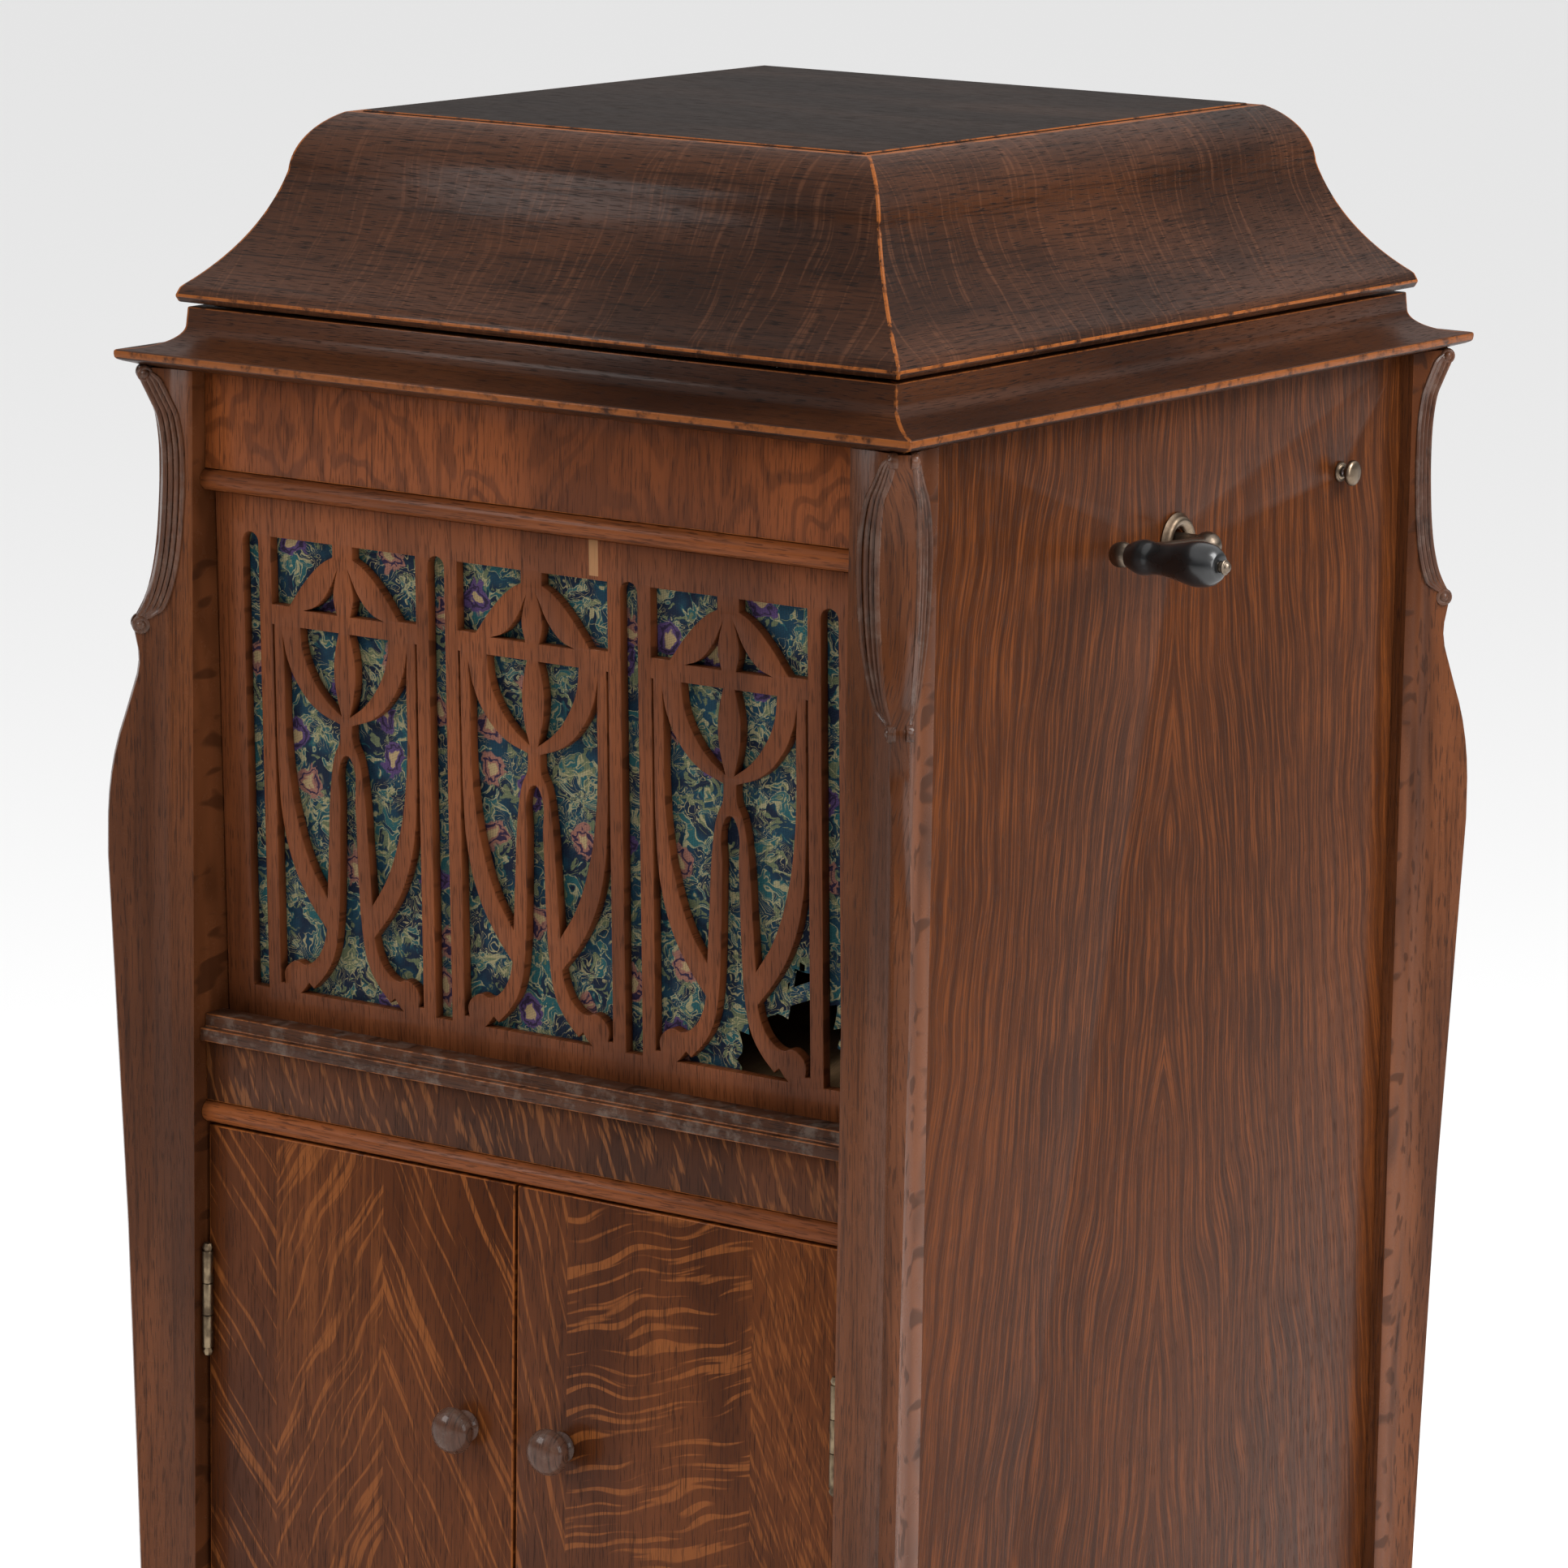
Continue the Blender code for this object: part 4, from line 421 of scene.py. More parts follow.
METAL = {
    "brass": metal("aged_brass", (0.25, 0.185, 0.115), (0.060, 0.040, 0.026), 0.8, 0.32),
    "gear_brass": metal("oiled_brass", (0.62, 0.46, 0.22), (0.30, 0.20, 0.09), 0.6, 0.30),
    "nickel": metal("worn_nickel", (0.62, 0.59, 0.54), (0.33, 0.28, 0.22), 0.55, 0.20),
    "dull_nickel": metal("dull_nickel", (0.36, 0.32, 0.27), (0.14, 0.11, 0.085), 0.7, 0.30),
    "steel": metal("bright_steel", (0.42, 0.42, 0.43), (0.20, 0.19, 0.18), 0.4, 0.28),
    "escutcheon": metal("bronzed_nickel", (0.24, 0.18, 0.125), (0.075, 0.048, 0.032), 0.75, 0.30),
    "crank": metal("bronzed_steel", (0.21, 0.165, 0.125), (0.060, 0.043, 0.032), 0.75, 0.30),
    "mica": metal("mica_sheet", (0.50, 0.46, 0.38), (0.38, 0.33, 0.25), 0.5, 0.22, metallic=0.0),
    "iron": metal("japanned_iron", (0.012, 0.012, 0.013), (0.035, 0.032, 0.03), 0.5, 0.35, metallic=0.0),
}
print(len(METAL), "metals")

# %% Soft and lacquered finishes
def lacquer():
    f = Finish("ebonised_grip")
    x, y, z = f.place()
    cloud = f.noise(x * 60, y * 60, z * 60, 3.0)
    tone = f.mix(f.soft(cloud, 0.4, 0.7), (0.006, 0.0065, 0.007), (0.012, 0.013, 0.014))
    return f.set(Base_Color=tone, Roughness=0.22 + cloud * 0.12, Coat_Weight=0.3, Coat_Roughness=0.10)


def baize(name, colour):
    f = Finish(name)
    x, y, z = f.place()
    fibre = f.noise(x * 2600, y * 2600, z * 2600, 2.0, 0.7)
    cloud = f.noise(x * 45, y * 45, z * 45, 3.0)
    tone = f.mix(f.soft(fibre, 0.3, 0.75), darker(colour, 0.55), colour)
    tone = f.mix(f.soft(cloud, 0.35, 0.7) * 0.35, tone, darker(colour, 0.5))
    return f.set(Base_Color=tone, Roughness=0.92, Normal=f.bump(fibre, 0.5, 0.0006))


def brocade():
    f = Finish("grille_brocade")
    x, y, z = f.place()
    wx = x + (f.noise(x * 55, z * 55, 3.0, 2.0) - 0.5) * 0.020
    wz = z + (f.noise(x * 55, z * 55, 11.0, 2.0) - 0.5) * 0.020
    ground = f.soft(f.noise(x * 40, z * 40, 1.0, 2.0), 0.42, 0.58)
    colour = f.mix(ground, (0.006, 0.012, 0.030), (0.008, 0.042, 0.070))
    leaf = f.noise(wx * 75, wz * 75, 5.0, 2.0, 0.55, 1.2)
    colour = f.mix(f.soft(leaf, 0.51, 0.55) * 0.9, colour, (0.020, 0.105, 0.110))
    vein = f.soft(abs(leaf - 0.575), 0.028, 0.012)
    sprig = f.noise(wx * 105, wz * 105, 21.0, 2.0, 0.5, 1.6)
    colour = f.mix(f.soft(sprig, 0.56, 0.60) * 0.9, colour, (0.15, 0.17, 0.085))
    curl = f.node("Math", {"operation": "PINGPONG"}, {0: f.noise(wx * 62, wz * 62, 31.0, 1.0, 0.5, 2.2) * 8,
                                                      1: 0.5})
    scroll = f.soft(curl, 0.38, 0.45) * f.soft(f.noise(x * 34, z * 34, 41.0, 1.0), 0.44, 0.52)
    colour = f.mix((vein + scroll).maths("MINIMUM", 1.0) * 0.8, colour, (0.42, 0.35, 0.18))
    bloom = {"Vector": f.vector(wx, wz, 0.0), "Scale": 29.0, "Randomness": 0.9}
    heart = f.node("TexVoronoi", {"voronoi_dimensions": "2D"}, bloom, 0)
    kind = f.node("TexVoronoi", {"voronoi_dimensions": "2D"}, bloom, 1)
    kind = f.node("SeparateXYZ", {}, {0: kind}, 0)
    petal = heart + (f.noise(wx * 260, wz * 260, 2.0, 1.0) - 0.5) * 0.24
    grown = kind > 0.52
    petal_colour = f.mix(kind > 0.76, (0.090, 0.048, 0.140), (0.30, 0.13, 0.095))
    colour = f.mix(f.soft(petal, 0.30, 0.26) * grown, colour, petal_colour)
    colour = f.mix(f.soft(abs(petal - 0.19), 0.035, 0.018) * grown, colour, (0.030, 0.016, 0.045))
    colour = f.mix(f.soft(petal, 0.12, 0.09) * grown, colour, (0.42, 0.30, 0.15))
    thread = f.node("Math", {"operation": "SINE"}, {0: z * 9000})
    cross = f.node("Math", {"operation": "SINE"}, {0: x * 5200})
    fuzz = f.noise(x * 1500, z * 2600, 0.0, 2.0, 0.6)
    colour = f.mix(f.soft(thread * 0.35 + cross * 0.3 + fuzz, 0.75, 0.15) * 0.6, colour,
                   (0.006, 0.009, 0.014))
    return f.set(Base_Color=colour, Roughness=0.72, Specular_IOR_Level=0.15,
                 Normal=f.bump(thread * 0.3 + cross * 0.2 + fuzz, 0.6, 0.0005))


SOFT = {"grip": lacquer(), "felt": baize("green_baize", (0.030, 0.085, 0.040)), "cloth": brocade(),
        "leather": baize("brake_leather", (0.16, 0.07, 0.03))}
print(len(METAL) + len(SOFT), "metal and soft finishes")

# %% [markdown]
# ## Making pieces
# Every finished piece sits at the origin with its place in its mesh. `finished` turns a bmesh into such a
# piece and lets it ride on a body. `eased` takes a copy of a CAD piece and rounds its sharp edges,
# because a real edge catches the light. `lathe` turns a smooth profile about an axis, and `pipe` sweeps a
# round section along a path with a radius at each point.

# %% Tools for pieces
def finished(name, bm, finish, body, stands_for=(), sharp=32.0):
    mesh = bpy.data.meshes.new(name)
    bm.to_mesh(mesh)
    bm.free()
    mesh.shade_smooth()
    mesh.set_sharp_from_angle(angle=math.radians(sharp))
    mesh.materials.append(finish)
    piece = bpy.data.objects.new(name, mesh)
    bpy.context.scene.collection.objects.link(piece)
    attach(piece, body)
    if stands_for:
        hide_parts(*stands_for)
    return piece


def eased(node, finish, body, width=0.8, name=None, corner=38.0):
    """A copy of a CAD piece whose sharp edges are rounded over; the rounded faces are marked as worn."""
    bm = bmesh.new()
    bm.from_mesh(frame["nodes"][node].data)
    bmesh.ops.remove_doubles(bm, verts=bm.verts, dist=2e-6)
    bmesh.ops.dissolve_limit(bm, angle_limit=math.radians(0.6), verts=bm.verts, edges=bm.edges)
    worn = bm.faces.layers.float.new("worn")
    if width:
        sharp = [edge for edge in bm.edges
                 if len(edge.link_faces) == 2 and edge.calc_face_angle(0.0) > math.radians(corner)]
        new = bmesh.ops.bevel(bm, geom=sharp, offset=width * MM, offset_type="OFFSET", segments=2,
                              profile=0.5, affect="EDGES", clamp_overlap=True)
        for face in new["faces"]:
            face[worn] = 1.0
    bmesh.ops.triangulate(bm, faces=[face for face in bm.faces if len(face.verts) > 4])
    return finished(name or node + "_finish", bm, finish, body, (node,))


def smooth_line(points, steps=6):
    """Catmull-Rom points through the given ones."""
    ends = [points[0]] + list(points) + [points[-1]]
    line = []
    for i in range(1, len(ends) - 2):
        a, b, c, d = (Vector(p) for p in ends[i - 1:i + 3])
        for j in range(steps):
            t = j / steps
            line.append(0.5 * (2 * b + (c - a) * t + (2 * a - 5 * b + 4 * c - d) * t * t
                               + (3 * b - a - 3 * c + d) * t ** 3))
    return line + [Vector(points[-1])]


def lathe(bm, profile, origin, axis, steps=48):
    """Turns (radius, height) millimetre points about an axis through origin, and closes it at the ends."""
    turn = Vector((0, 0, 1)).rotation_difference(Vector(axis)).to_matrix()
    rings = []
    for radius, height in profile:
        count = 1 if radius < 1e-6 else steps
        rings.append([bm.verts.new(origin + turn @ (Vector((radius * math.cos(2 * math.pi * i / steps),
                                                            radius * math.sin(2 * math.pi * i / steps),
                                                            height)) * MM))
                      for i in range(count)])
    closed = profile[0][0] > 1e-6
    pairs = list(zip(rings, rings[1:])) + ([(rings[-1], rings[0])] if closed else [])
    for a, b in pairs:
        for i in range(steps):
            j = (i + 1) % steps
            ring = [a[i % len(a)], b[i % len(b)], b[j % len(b)], a[j % len(a)]]
            corners = list(dict.fromkeys(ring))
            if len(corners) > 2:
                bm.faces.new(corners)
    bmesh.ops.recalc_face_normals(bm, faces=bm.faces)
    return bm


def pipe(bm, points, radii, sides=24):
    """A round bar along points, in metres, closed with a flat face at each end; radii are millimetres."""
    tangent = (points[1] - points[0]).normalized()
    side = tangent.orthogonal().normalized()
    rings = []
    for i, (point, radius) in enumerate(zip(points, radii)):
        before, after = points[max(i - 1, 0)], points[min(i + 1, len(points) - 1)]
        new = (after - before).normalized()
        side = (tangent.rotation_difference(new) @ side).normalized()
        tangent = new
        other = tangent.cross(side)
        rings.append([bm.verts.new(point + (side * math.cos(2 * math.pi * j / sides)
                                            + other * math.sin(2 * math.pi * j / sides)) * radius * MM)
                      for j in range(sides)])
    for a, b in zip(rings, rings[1:]):
        for j in range(sides):
            bm.faces.new((a[j - 1], a[j], b[j], b[j - 1]))
    bm.faces.new(rings[0][::-1])
    bm.faces.new(rings[-1])
    bmesh.ops.recalc_face_normals(bm, faces=bm.faces)
    return bm


def slab(bm, corner, opposite):
    """A plain block between two corners."""
    middle, size = (corner + opposite) / 2, opposite - corner
    new = bmesh.ops.create_cube(bm, size=1.0)["verts"]
    bmesh.ops.scale(bm, vec=[abs(v) for v in size], verts=new)
    bmesh.ops.translate(bm, vec=middle, verts=new)
    return new


def tell():
    """Prints what a cell has made: the pieces that were not there at the last call."""
    new = sorted(set(bpy.data.objects.keys()) - told)
    told.update(new)
    print(len(new), "made:", ", ".join(new))


told = set(bpy.data.objects.keys())
print(len(told), "objects in the frame")

# %% [markdown]
# ## The boards of the cabinet
# Posts, panels, friezes and boards already have the right shape. Each gets rounded edges and the oak that
# belongs to it.

# %% Posts, panels and friezes
for word in ("front_left", "front_right", "back_left", "back_right"):
    eased("post_" + word, OAK["post"], "cabinet", 0.8)
for node, finish, width in (("side_panel_left", "side", 0.8), ("side_panel_right", "side", 0.8),
                            ("upper_frieze", "frieze", 0.5), ("lower_frieze", "low_frieze", 0.5),
                            ("upper_bead", "bead", 0.5), ("lower_bead", "bead", 0.5),
                            ("bottom_rail", "low_frieze", 0.8), ("back_panel", "post", 0.8)):
    eased(node, OAK[finish], "cabinet", width)
eased("grille_ledge", OAK["ledge"], "cabinet", 0.7)
eased("motor_board", OAK["inside"], "cabinet", 0.8)
for node in ("cupboard_floor", "cupboard_ceiling", "record_rack"):
    eased(node, OAK["pine"], "cabinet", 0.8)
for side in ("left", "right"):
    eased("door_" + side, OAK["door_" + side], "door_" + side, 0.9)
tell()

# %% [markdown]
# ## Cornice and lid
# Both are mouldings mitred at the corners. One profile is drawn as inset and height, and each of its
# points is set at the four corners of the cabinet. The UV map grain runs along each side, so that the
# grain turns the corner at the mitre as it does on the real moulding. The mitres are rounded a little and
# worn.

# %% Mitred mouldings
def bow(start, end, rise, steps):
    """Points on a circle's arc from start to end that bows to the left of the way by rise."""
    (ax, ay), (bx, by) = start, end
    half = math.hypot(bx - ax, by - ay) / 2
    radius = (half * half + rise * rise) / (2 * rise)
    ux, uy = (bx - ax) / (2 * half), (by - ay) / (2 * half)
    cx, cy = (ax + bx) / 2 + uy * (radius - rise), (ay + by) / 2 - ux * (radius - rise)
    first = math.atan2(ay - cy, ax - cx)
    sweep = (math.atan2(by - cy, bx - cx) - first + math.pi) % (2 * math.pi) - math.pi
    return [(cx + abs(radius) * math.cos(first + sweep * i / steps),
             cy + abs(radius) * math.sin(first + sweep * i / steps)) for i in range(steps + 1)]


def moulding(name, section, worn_steps, finish, body, stands_for):
    """section is a closed list of (inset, height) millimetres; worn_steps names its rubbed segments."""
    bm = bmesh.new()
    grain = bm.loops.layers.uv.new("grain")
    worn = bm.faces.layers.float.new("worn")
    corners = ((-1, -1), (1, -1), (1, 1), (-1, 1))
    rings, travel = [], [0.0]
    for inset, height in section:
        rings.append([bm.verts.new((CENTRE + sx * (HALF_W - inset * MM), sy * (HALF_D - inset * MM),
                                    TIP_Z + height * MM)) for sx, sy in corners])
    for (ax, ay), (bx, by) in zip(section, section[1:] + section[:1]):
        travel.append(travel[-1] + math.hypot(bx - ax, by - ay) * MM)
    for i, ring in enumerate(rings):
        following = rings[(i + 1) % len(rings)]
        for k in range(4):
            j = (k + 1) % 4
            face = bm.faces.new((ring[k], ring[j], following[j], following[k]))
            face[worn] = 1.0 if i in worn_steps else 0.0
            for loop, over in zip(face.loops, (travel[i], travel[i], travel[i + 1], travel[i + 1])):
                spot = loop.vert.co
                loop[grain].uv = ((spot.x if k % 2 == 0 else spot.y) + 1.7 * k, over)
    mitres = [bm.edges.get((rings[i][k], rings[(i + 1) % len(rings)][k]))
              for i in range(len(rings)) for k in range(4)]
    outer = [edge for edge in mitres if edge is not None]
    bmesh.ops.recalc_face_normals(bm, faces=bm.faces)
    new = bmesh.ops.bevel(bm, geom=outer, offset=0.7 * MM, offset_type="OFFSET", segments=2, profile=0.5,
                          affect="EDGES", clamp_overlap=True)
    for face in new["faces"]:
        face[worn] = 1.0
    return finished(name, bm, finish, body, stands_for, 30.0)


hollow = [(30.3 - 29.5 * (1 - math.cos(a)), 17.3 - 14.9 * math.sin(a)) for a in
          (math.radians(90 * i / 18) for i in range(19))]
section = [(42, 27.5), (31.6, 27.5), (31.1, 27.3), (31, 26.8)] + hollow + [
    (0.25, 1.9), (0, 1.2), (0, -0.4), (0.3, -2.2), (1.0, -3.2), (3.6, -4.4), (14, -7.5), (42, -7.5)]
tip = len(section) - 8
moulding("cornice_finish", section, {1, 2, tip, tip + 1, tip + 2}, OAK["cornice"], "cabinet",
         ("cornice",))

outside = [(27.6, 30.4), (27.1, 30.9), (26.0, 33.4), (25.9, 34.4), (26.2, 35.4), (27.6, 39)]
outside += bow((29, 40.5), (73, 108), -6.2, 24) + bow((73, 108), (96.4, 142.3), 5.5, 16)[1:] + [
    (97.0, 142.5), (103.4, 142.5), (104, 142.0)]
inside = [(104, 128.5), (92, 127.5)] + bow((86, 118), (46, 52), 5.0, 12) + [(42, 44), (42, 30.4)]
rubbed = {2, 3, len(outside) - 3, len(outside) - 2}
moulding("lid_frame_finish", outside + inside, rubbed, OAK["lid"], "lid", ("lid_frame",))
eased("lid_top", OAK["top"], "lid", 0.7)
tell()

# %% [markdown]
# ## Carved ribs on the fins
# Under the cornice each fin is hollowed, and four ribs follow its edge on both faces from a small scroll
# down to a larger one. A rib is a round section that follows a path, which is what Curve to Mesh does:
# the paths are worked out here as plain edges, and one node tree gives them their body.

# %% A node tree that sweeps ribs along edges
def new_tree(name, inputs):
    tree = bpy.data.node_groups.new(name, "GeometryNodeTree")
    tree.interface.new_socket("Geometry", in_out="INPUT", socket_type="NodeSocketGeometry")
    tree.interface.new_socket("Geometry", in_out="OUTPUT", socket_type="NodeSocketGeometry")
    for label, kind, value in inputs:
        socket = tree.interface.new_socket(label, in_out="INPUT", socket_type="NodeSocket" + kind)
        if value is not None:
            socket.default_value = value
    tree.nodes.new("NodeGroupInput").name = "in"
    tree.nodes.new("NodeGroupOutput").name = "out"
    return tree


def step(tree, kind, links=(), **settings):
    """Adds a geometry node; links maps its input names to (node, output) pairs or values."""
    made = tree.nodes.new(kind)
    for key, value in settings.items():
        setattr(made, key, value)
    for key, value in dict(links).items():
        if isinstance(value, tuple) and isinstance(value[0], bpy.types.Node):
            tree.links.new(value[0].outputs[value[1]], made.inputs[key])
        else:
            made.inputs[key].default_value = value
    return made


def grown(tree, seed_mesh, values):
    """Runs a node tree on a mesh and hands back the plain mesh that it makes."""
    host = bpy.data.objects.new("seed", seed_mesh)
    bpy.context.scene.collection.objects.link(host)
    modifier = host.modifiers.new("grow", "NODES")
    modifier.node_group = tree
    for item in tree.interface.items_tree:
        if item.item_type == "SOCKET" and item.in_out == "INPUT" and item.name in values:
            modifier[item.identifier] = values[item.name]
    bpy.context.view_layer.update()
    mesh = bpy.data.meshes.new_from_object(host.evaluated_get(bpy.context.evaluated_depsgraph_get()))
    bpy.data.objects.remove(host)
    return mesh


def plain_piece(name, mesh, body, sharp=40.0):
    mesh.name = name
    piece = bpy.data.objects.new(name, mesh)
    mesh.shade_smooth()
    mesh.set_sharp_from_angle(angle=math.radians(sharp))
    bpy.context.scene.collection.objects.link(piece)
    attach(piece, body)
    return piece


RIBS = new_tree("swept_ribs", (("Rib Radius", "Float", 0.0016), ("Sides", "Int", 8),
                               ("Finish", "Material", None)))
start, end = RIBS.nodes["in"], RIBS.nodes["out"]
path = step(RIBS, "GeometryNodeMeshToCurve", {"Mesh": (start, "Geometry")})
taper = step(RIBS, "GeometryNodeInputNamedAttribute", {"Name": "taper"}, data_type="FLOAT")
thick = step(RIBS, "ShaderNodeMath", {0: (taper, "Attribute"), 1: (start, "Rib Radius")},
             operation="MULTIPLY")
path = step(RIBS, "GeometryNodeSetCurveRadius", {"Curve": (path, "Curve"), "Radius": (thick, "Value")})
round_section = step(RIBS, "GeometryNodeCurvePrimitiveCircle",
                     {"Resolution": (start, "Sides"), "Radius": 1.0})
body = step(RIBS, "GeometryNodeCurveToMesh", {"Curve": (path, "Curve"),
                                              "Profile Curve": (round_section, "Curve"),
                                              "Scale": (thick, "Value"), "Fill Caps": True})
real = step(RIBS, "GeometryNodeRealizeInstances", {"Geometry": (body, "Mesh")})
coat = step(RIBS, "GeometryNodeSetMaterial", {"Geometry": (real, "Geometry"), "Material": (start, "Finish")})
RIBS.links.new(coat.outputs["Geometry"], end.inputs["Geometry"])
print(RIBS.name, "has", len(RIBS.nodes), "nodes")

# %% Where the ribs run
FIN = [(-15.2, -10), (-15.4, -14), (-21, -26), (-25.2, -36), (-27.6, -52), (-28.2, -70), (-27.8, -88),
       (-26.4, -110),
       (-24, -128), (-20.6, -142), (-17, -151), (-12.4, -159)]
COVE_R, COVE_START, COVE_HIGH = 44.0, -38.59, 30.0


def fin_half(reach):
    """Half the thickness of a fin at a reach from the cornice's corner: 4.5 mm, then out along the hollow."""
    lean = (reach * math.sqrt(2) - COVE_START - COVE_HIGH) / (COVE_R * math.sqrt(2))
    if reach > -6.1 or abs(lean) > 1:
        return 4.5
    a = math.asin(lean) + math.radians(45)
    x, y = COVE_START + COVE_R * math.sin(a), COVE_HIGH - COVE_R * math.cos(a)
    return max(4.5, (y - x) / math.sqrt(2))


def rib_paths():
    """Edges for every rib on the four posts, with how full the rib is at each point."""
    verts, edges, taper = [], [], []
    line = smooth_line([(reach, drop, 0) for reach, drop in FIN], 5)
    for sx in (-1, 1):
        for sy in (-1, 1):
            corner = at(sx * 285, sy * 308, 0)
            out = Vector((sx, sy, 0)).normalized()
            across = Vector((-sy * sx * sx, sx * sy * sy, 0)).normalized()
            for face in (-1, 1):
                for inset in (1.4, 4.6, 7.8, 11.0):
                    first = len(verts)
                    for i, spot in enumerate(line):
                        share = i / (len(line) - 1)
                        closing = min(1.0, share / 0.10, (1 - share) / 0.08)
                        reach = spot.x - inset * (0.35 + 0.65 * closing)
                        place = corner + out * reach * MM + across * face * (fin_half(reach) + 0.2) * MM
                        place.z = TIP_Z + spot.y * MM
                        verts.append(place)
                        taper.append(0.45 + 0.55 * closing)
                        if i:
                            edges.append((first + i - 1, first + i))
    return verts, edges, taper


verts, edges, taper_values = rib_paths()
paths = bpy.data.meshes.new("rib_paths")
paths.from_pydata(verts, edges, [])
paths.attributes.new("taper", "FLOAT", "POINT").data.foreach_set("value", taper_values)
OAK["rib"] = oak("rib_oak", (0.055, 0.021, 0.011), (0.120, 0.049, 0.026), "XZ", worn=0.0, gloss=0.26,
                 coat=0.3, grey=0.15)
plain_piece("carved_ribs", grown(RIBS, paths, {"Rib Radius": 0.0018, "Sides": 8, "Finish": OAK["rib"]}),
            "cabinet")


tell()

# %% The scrolls that end the ribs
bm = bmesh.new()
for sx in (-1, 1):
    for sy in (-1, 1):
        out = Vector((sx, sy, 0)).normalized()
        across = Vector((-sy, sx, 0)).normalized()
        for face in (-1, 1):
            for reach, drop, radius in ((-18.5, -11.5, 5.0), (-15.5, -162.0, 5.6)):
                face_at = fin_half(reach)
                spot = at(sx * 285, sy * 308, 0) + out * reach * MM + across * face * face_at * MM
                spot.z = TIP_Z + drop * MM
                dome = [(0, 3.1), (1.3, 3.0), (2.2, 2.3), (2.8, 1.7), (3.6, 2.0), (radius - 0.6, 1.7),
                        (radius, 0.4), (radius, -2.5), (0, -2.5)]
                lathe(bm, dome, spot, across * face, 20)
finished("rib_scrolls", bm, OAK["rib"], "cabinet", (), 50.0)
print("ribs and scrolls done")

# %% [markdown]
# ## The fret and its cloth
# The fret panel is one board, sawn through in three tall motifs. Its outline is drawn again as a flat
# curve with smooth points, thickened, and given a small round edge by the curve's own bevel. Behind it
# the brocade is stretched and tacked. At the lower right the cloth has come away and left a ragged hole.

# %% Fret outlines
def motif_holes(half, scale):
    """Cut-outs of one motif about its middle: (x, drop below the panel's top), s where it runs smooth."""
    right_side = [
        [(7.5, 23.5), (half, 23.5), (half, 64), (41, 64), (27, 46, "s"), (15, 35, "s"), (7.5, 31)],
        [(4, 38), (12, 53, "s"), (21, 62, "s"), (30, 65.5), (5, 65.5), (7.4, 55, "s"), (6, 45, "s")],
        [(4, 76), (33, 76), (31, 91, "s"), (24, 106, "s"), (14, 118, "s"), (3, 126), (6.5, 113, "s"),
         (8, 98, "s"),
         (6.6, 86, "s")],
        [(46.5, 82), (45.6, 105, "s"), (45.6, 135, "s"), (43.5, 165, "s"), (39, 190, "s"), (29, 219, "s"),
         (17, 238), (15, 205, "s"), (12.6, 170, "s"), (9, 150, "s"), (5, 141, "s"), (4.5, 131),
         (22, 124, "s"), (36, 110, "s"), (43.5, 95, "s")],
        [(half, 76), (half, 295), (50.5, 295), (51, 288, "s"), (46.5, 282, "s"), (41, 280, "s"),
         (35.5, 281.5, "s"),
         (27, 277, "s"), (21, 268, "s"), (18, 257.5), (31, 241, "s"), (42, 221, "s"), (49.3, 195, "s"),
         (52, 165, "s"), (52.6, 120, "s"), (52.6, 76)],
    ]
    foot = [(4, 153, "s"), (5.6, 180, "s"), (7, 225, "s"), (9, 255, "s"), (13, 274, "s"), (20, 286, "s"),
            (29, 295.5), (32.5, 292.5), (36, 297), (39, 299.5)]
    middle = [(0, 149.5, "s")] + foot + [(-p[0], *p[1:]) for p in reversed(foot)]
    left_side = [[(-p[0], *p[1:]) for p in reversed(loop)] for loop in right_side]
    return [[(p[0] * scale, *p[1:]) for p in loop] for loop in right_side + left_side + [middle]]


PANEL_HALF, PANEL_H, PANEL_T = 235.2, 322.7, 7.0
SLOT_W, BAR_W, DRAWN_HALF = 12.0, 9.3, 54.0
pitch = (2 * PANEL_HALF - 52.0) / 3
half = (pitch - SLOT_W - 2 * BAR_W) / 2
loops = [[(-PANEL_HALF, 0), (PANEL_HALF, 0), (PANEL_HALF, -PANEL_H), (-PANEL_HALF, -PANEL_H)]]
for i in range(4):
    x, r = (i - 1.5) * pitch, SLOT_W / 2
    loops.append([(x - r, -299.5), (x + r, -299.5)]
                 + [(x + r * math.cos(math.pi * j / 12), -22 - r + r * math.sin(math.pi * j / 12))
                    for j in range(13)])
for i in range(3):
    for hole in motif_holes(DRAWN_HALF, half / DRAWN_HALF):
        loops.append([((i - 1) * pitch + p[0], -p[1], *p[2:]) for p in hole])
FOOT = at(0, -262, 704.6)
LEAN = math.atan2(12.0, 317.5)
TILT = Matrix.Translation(FOOT) @ Matrix.Rotation(LEAN, 4, "X")


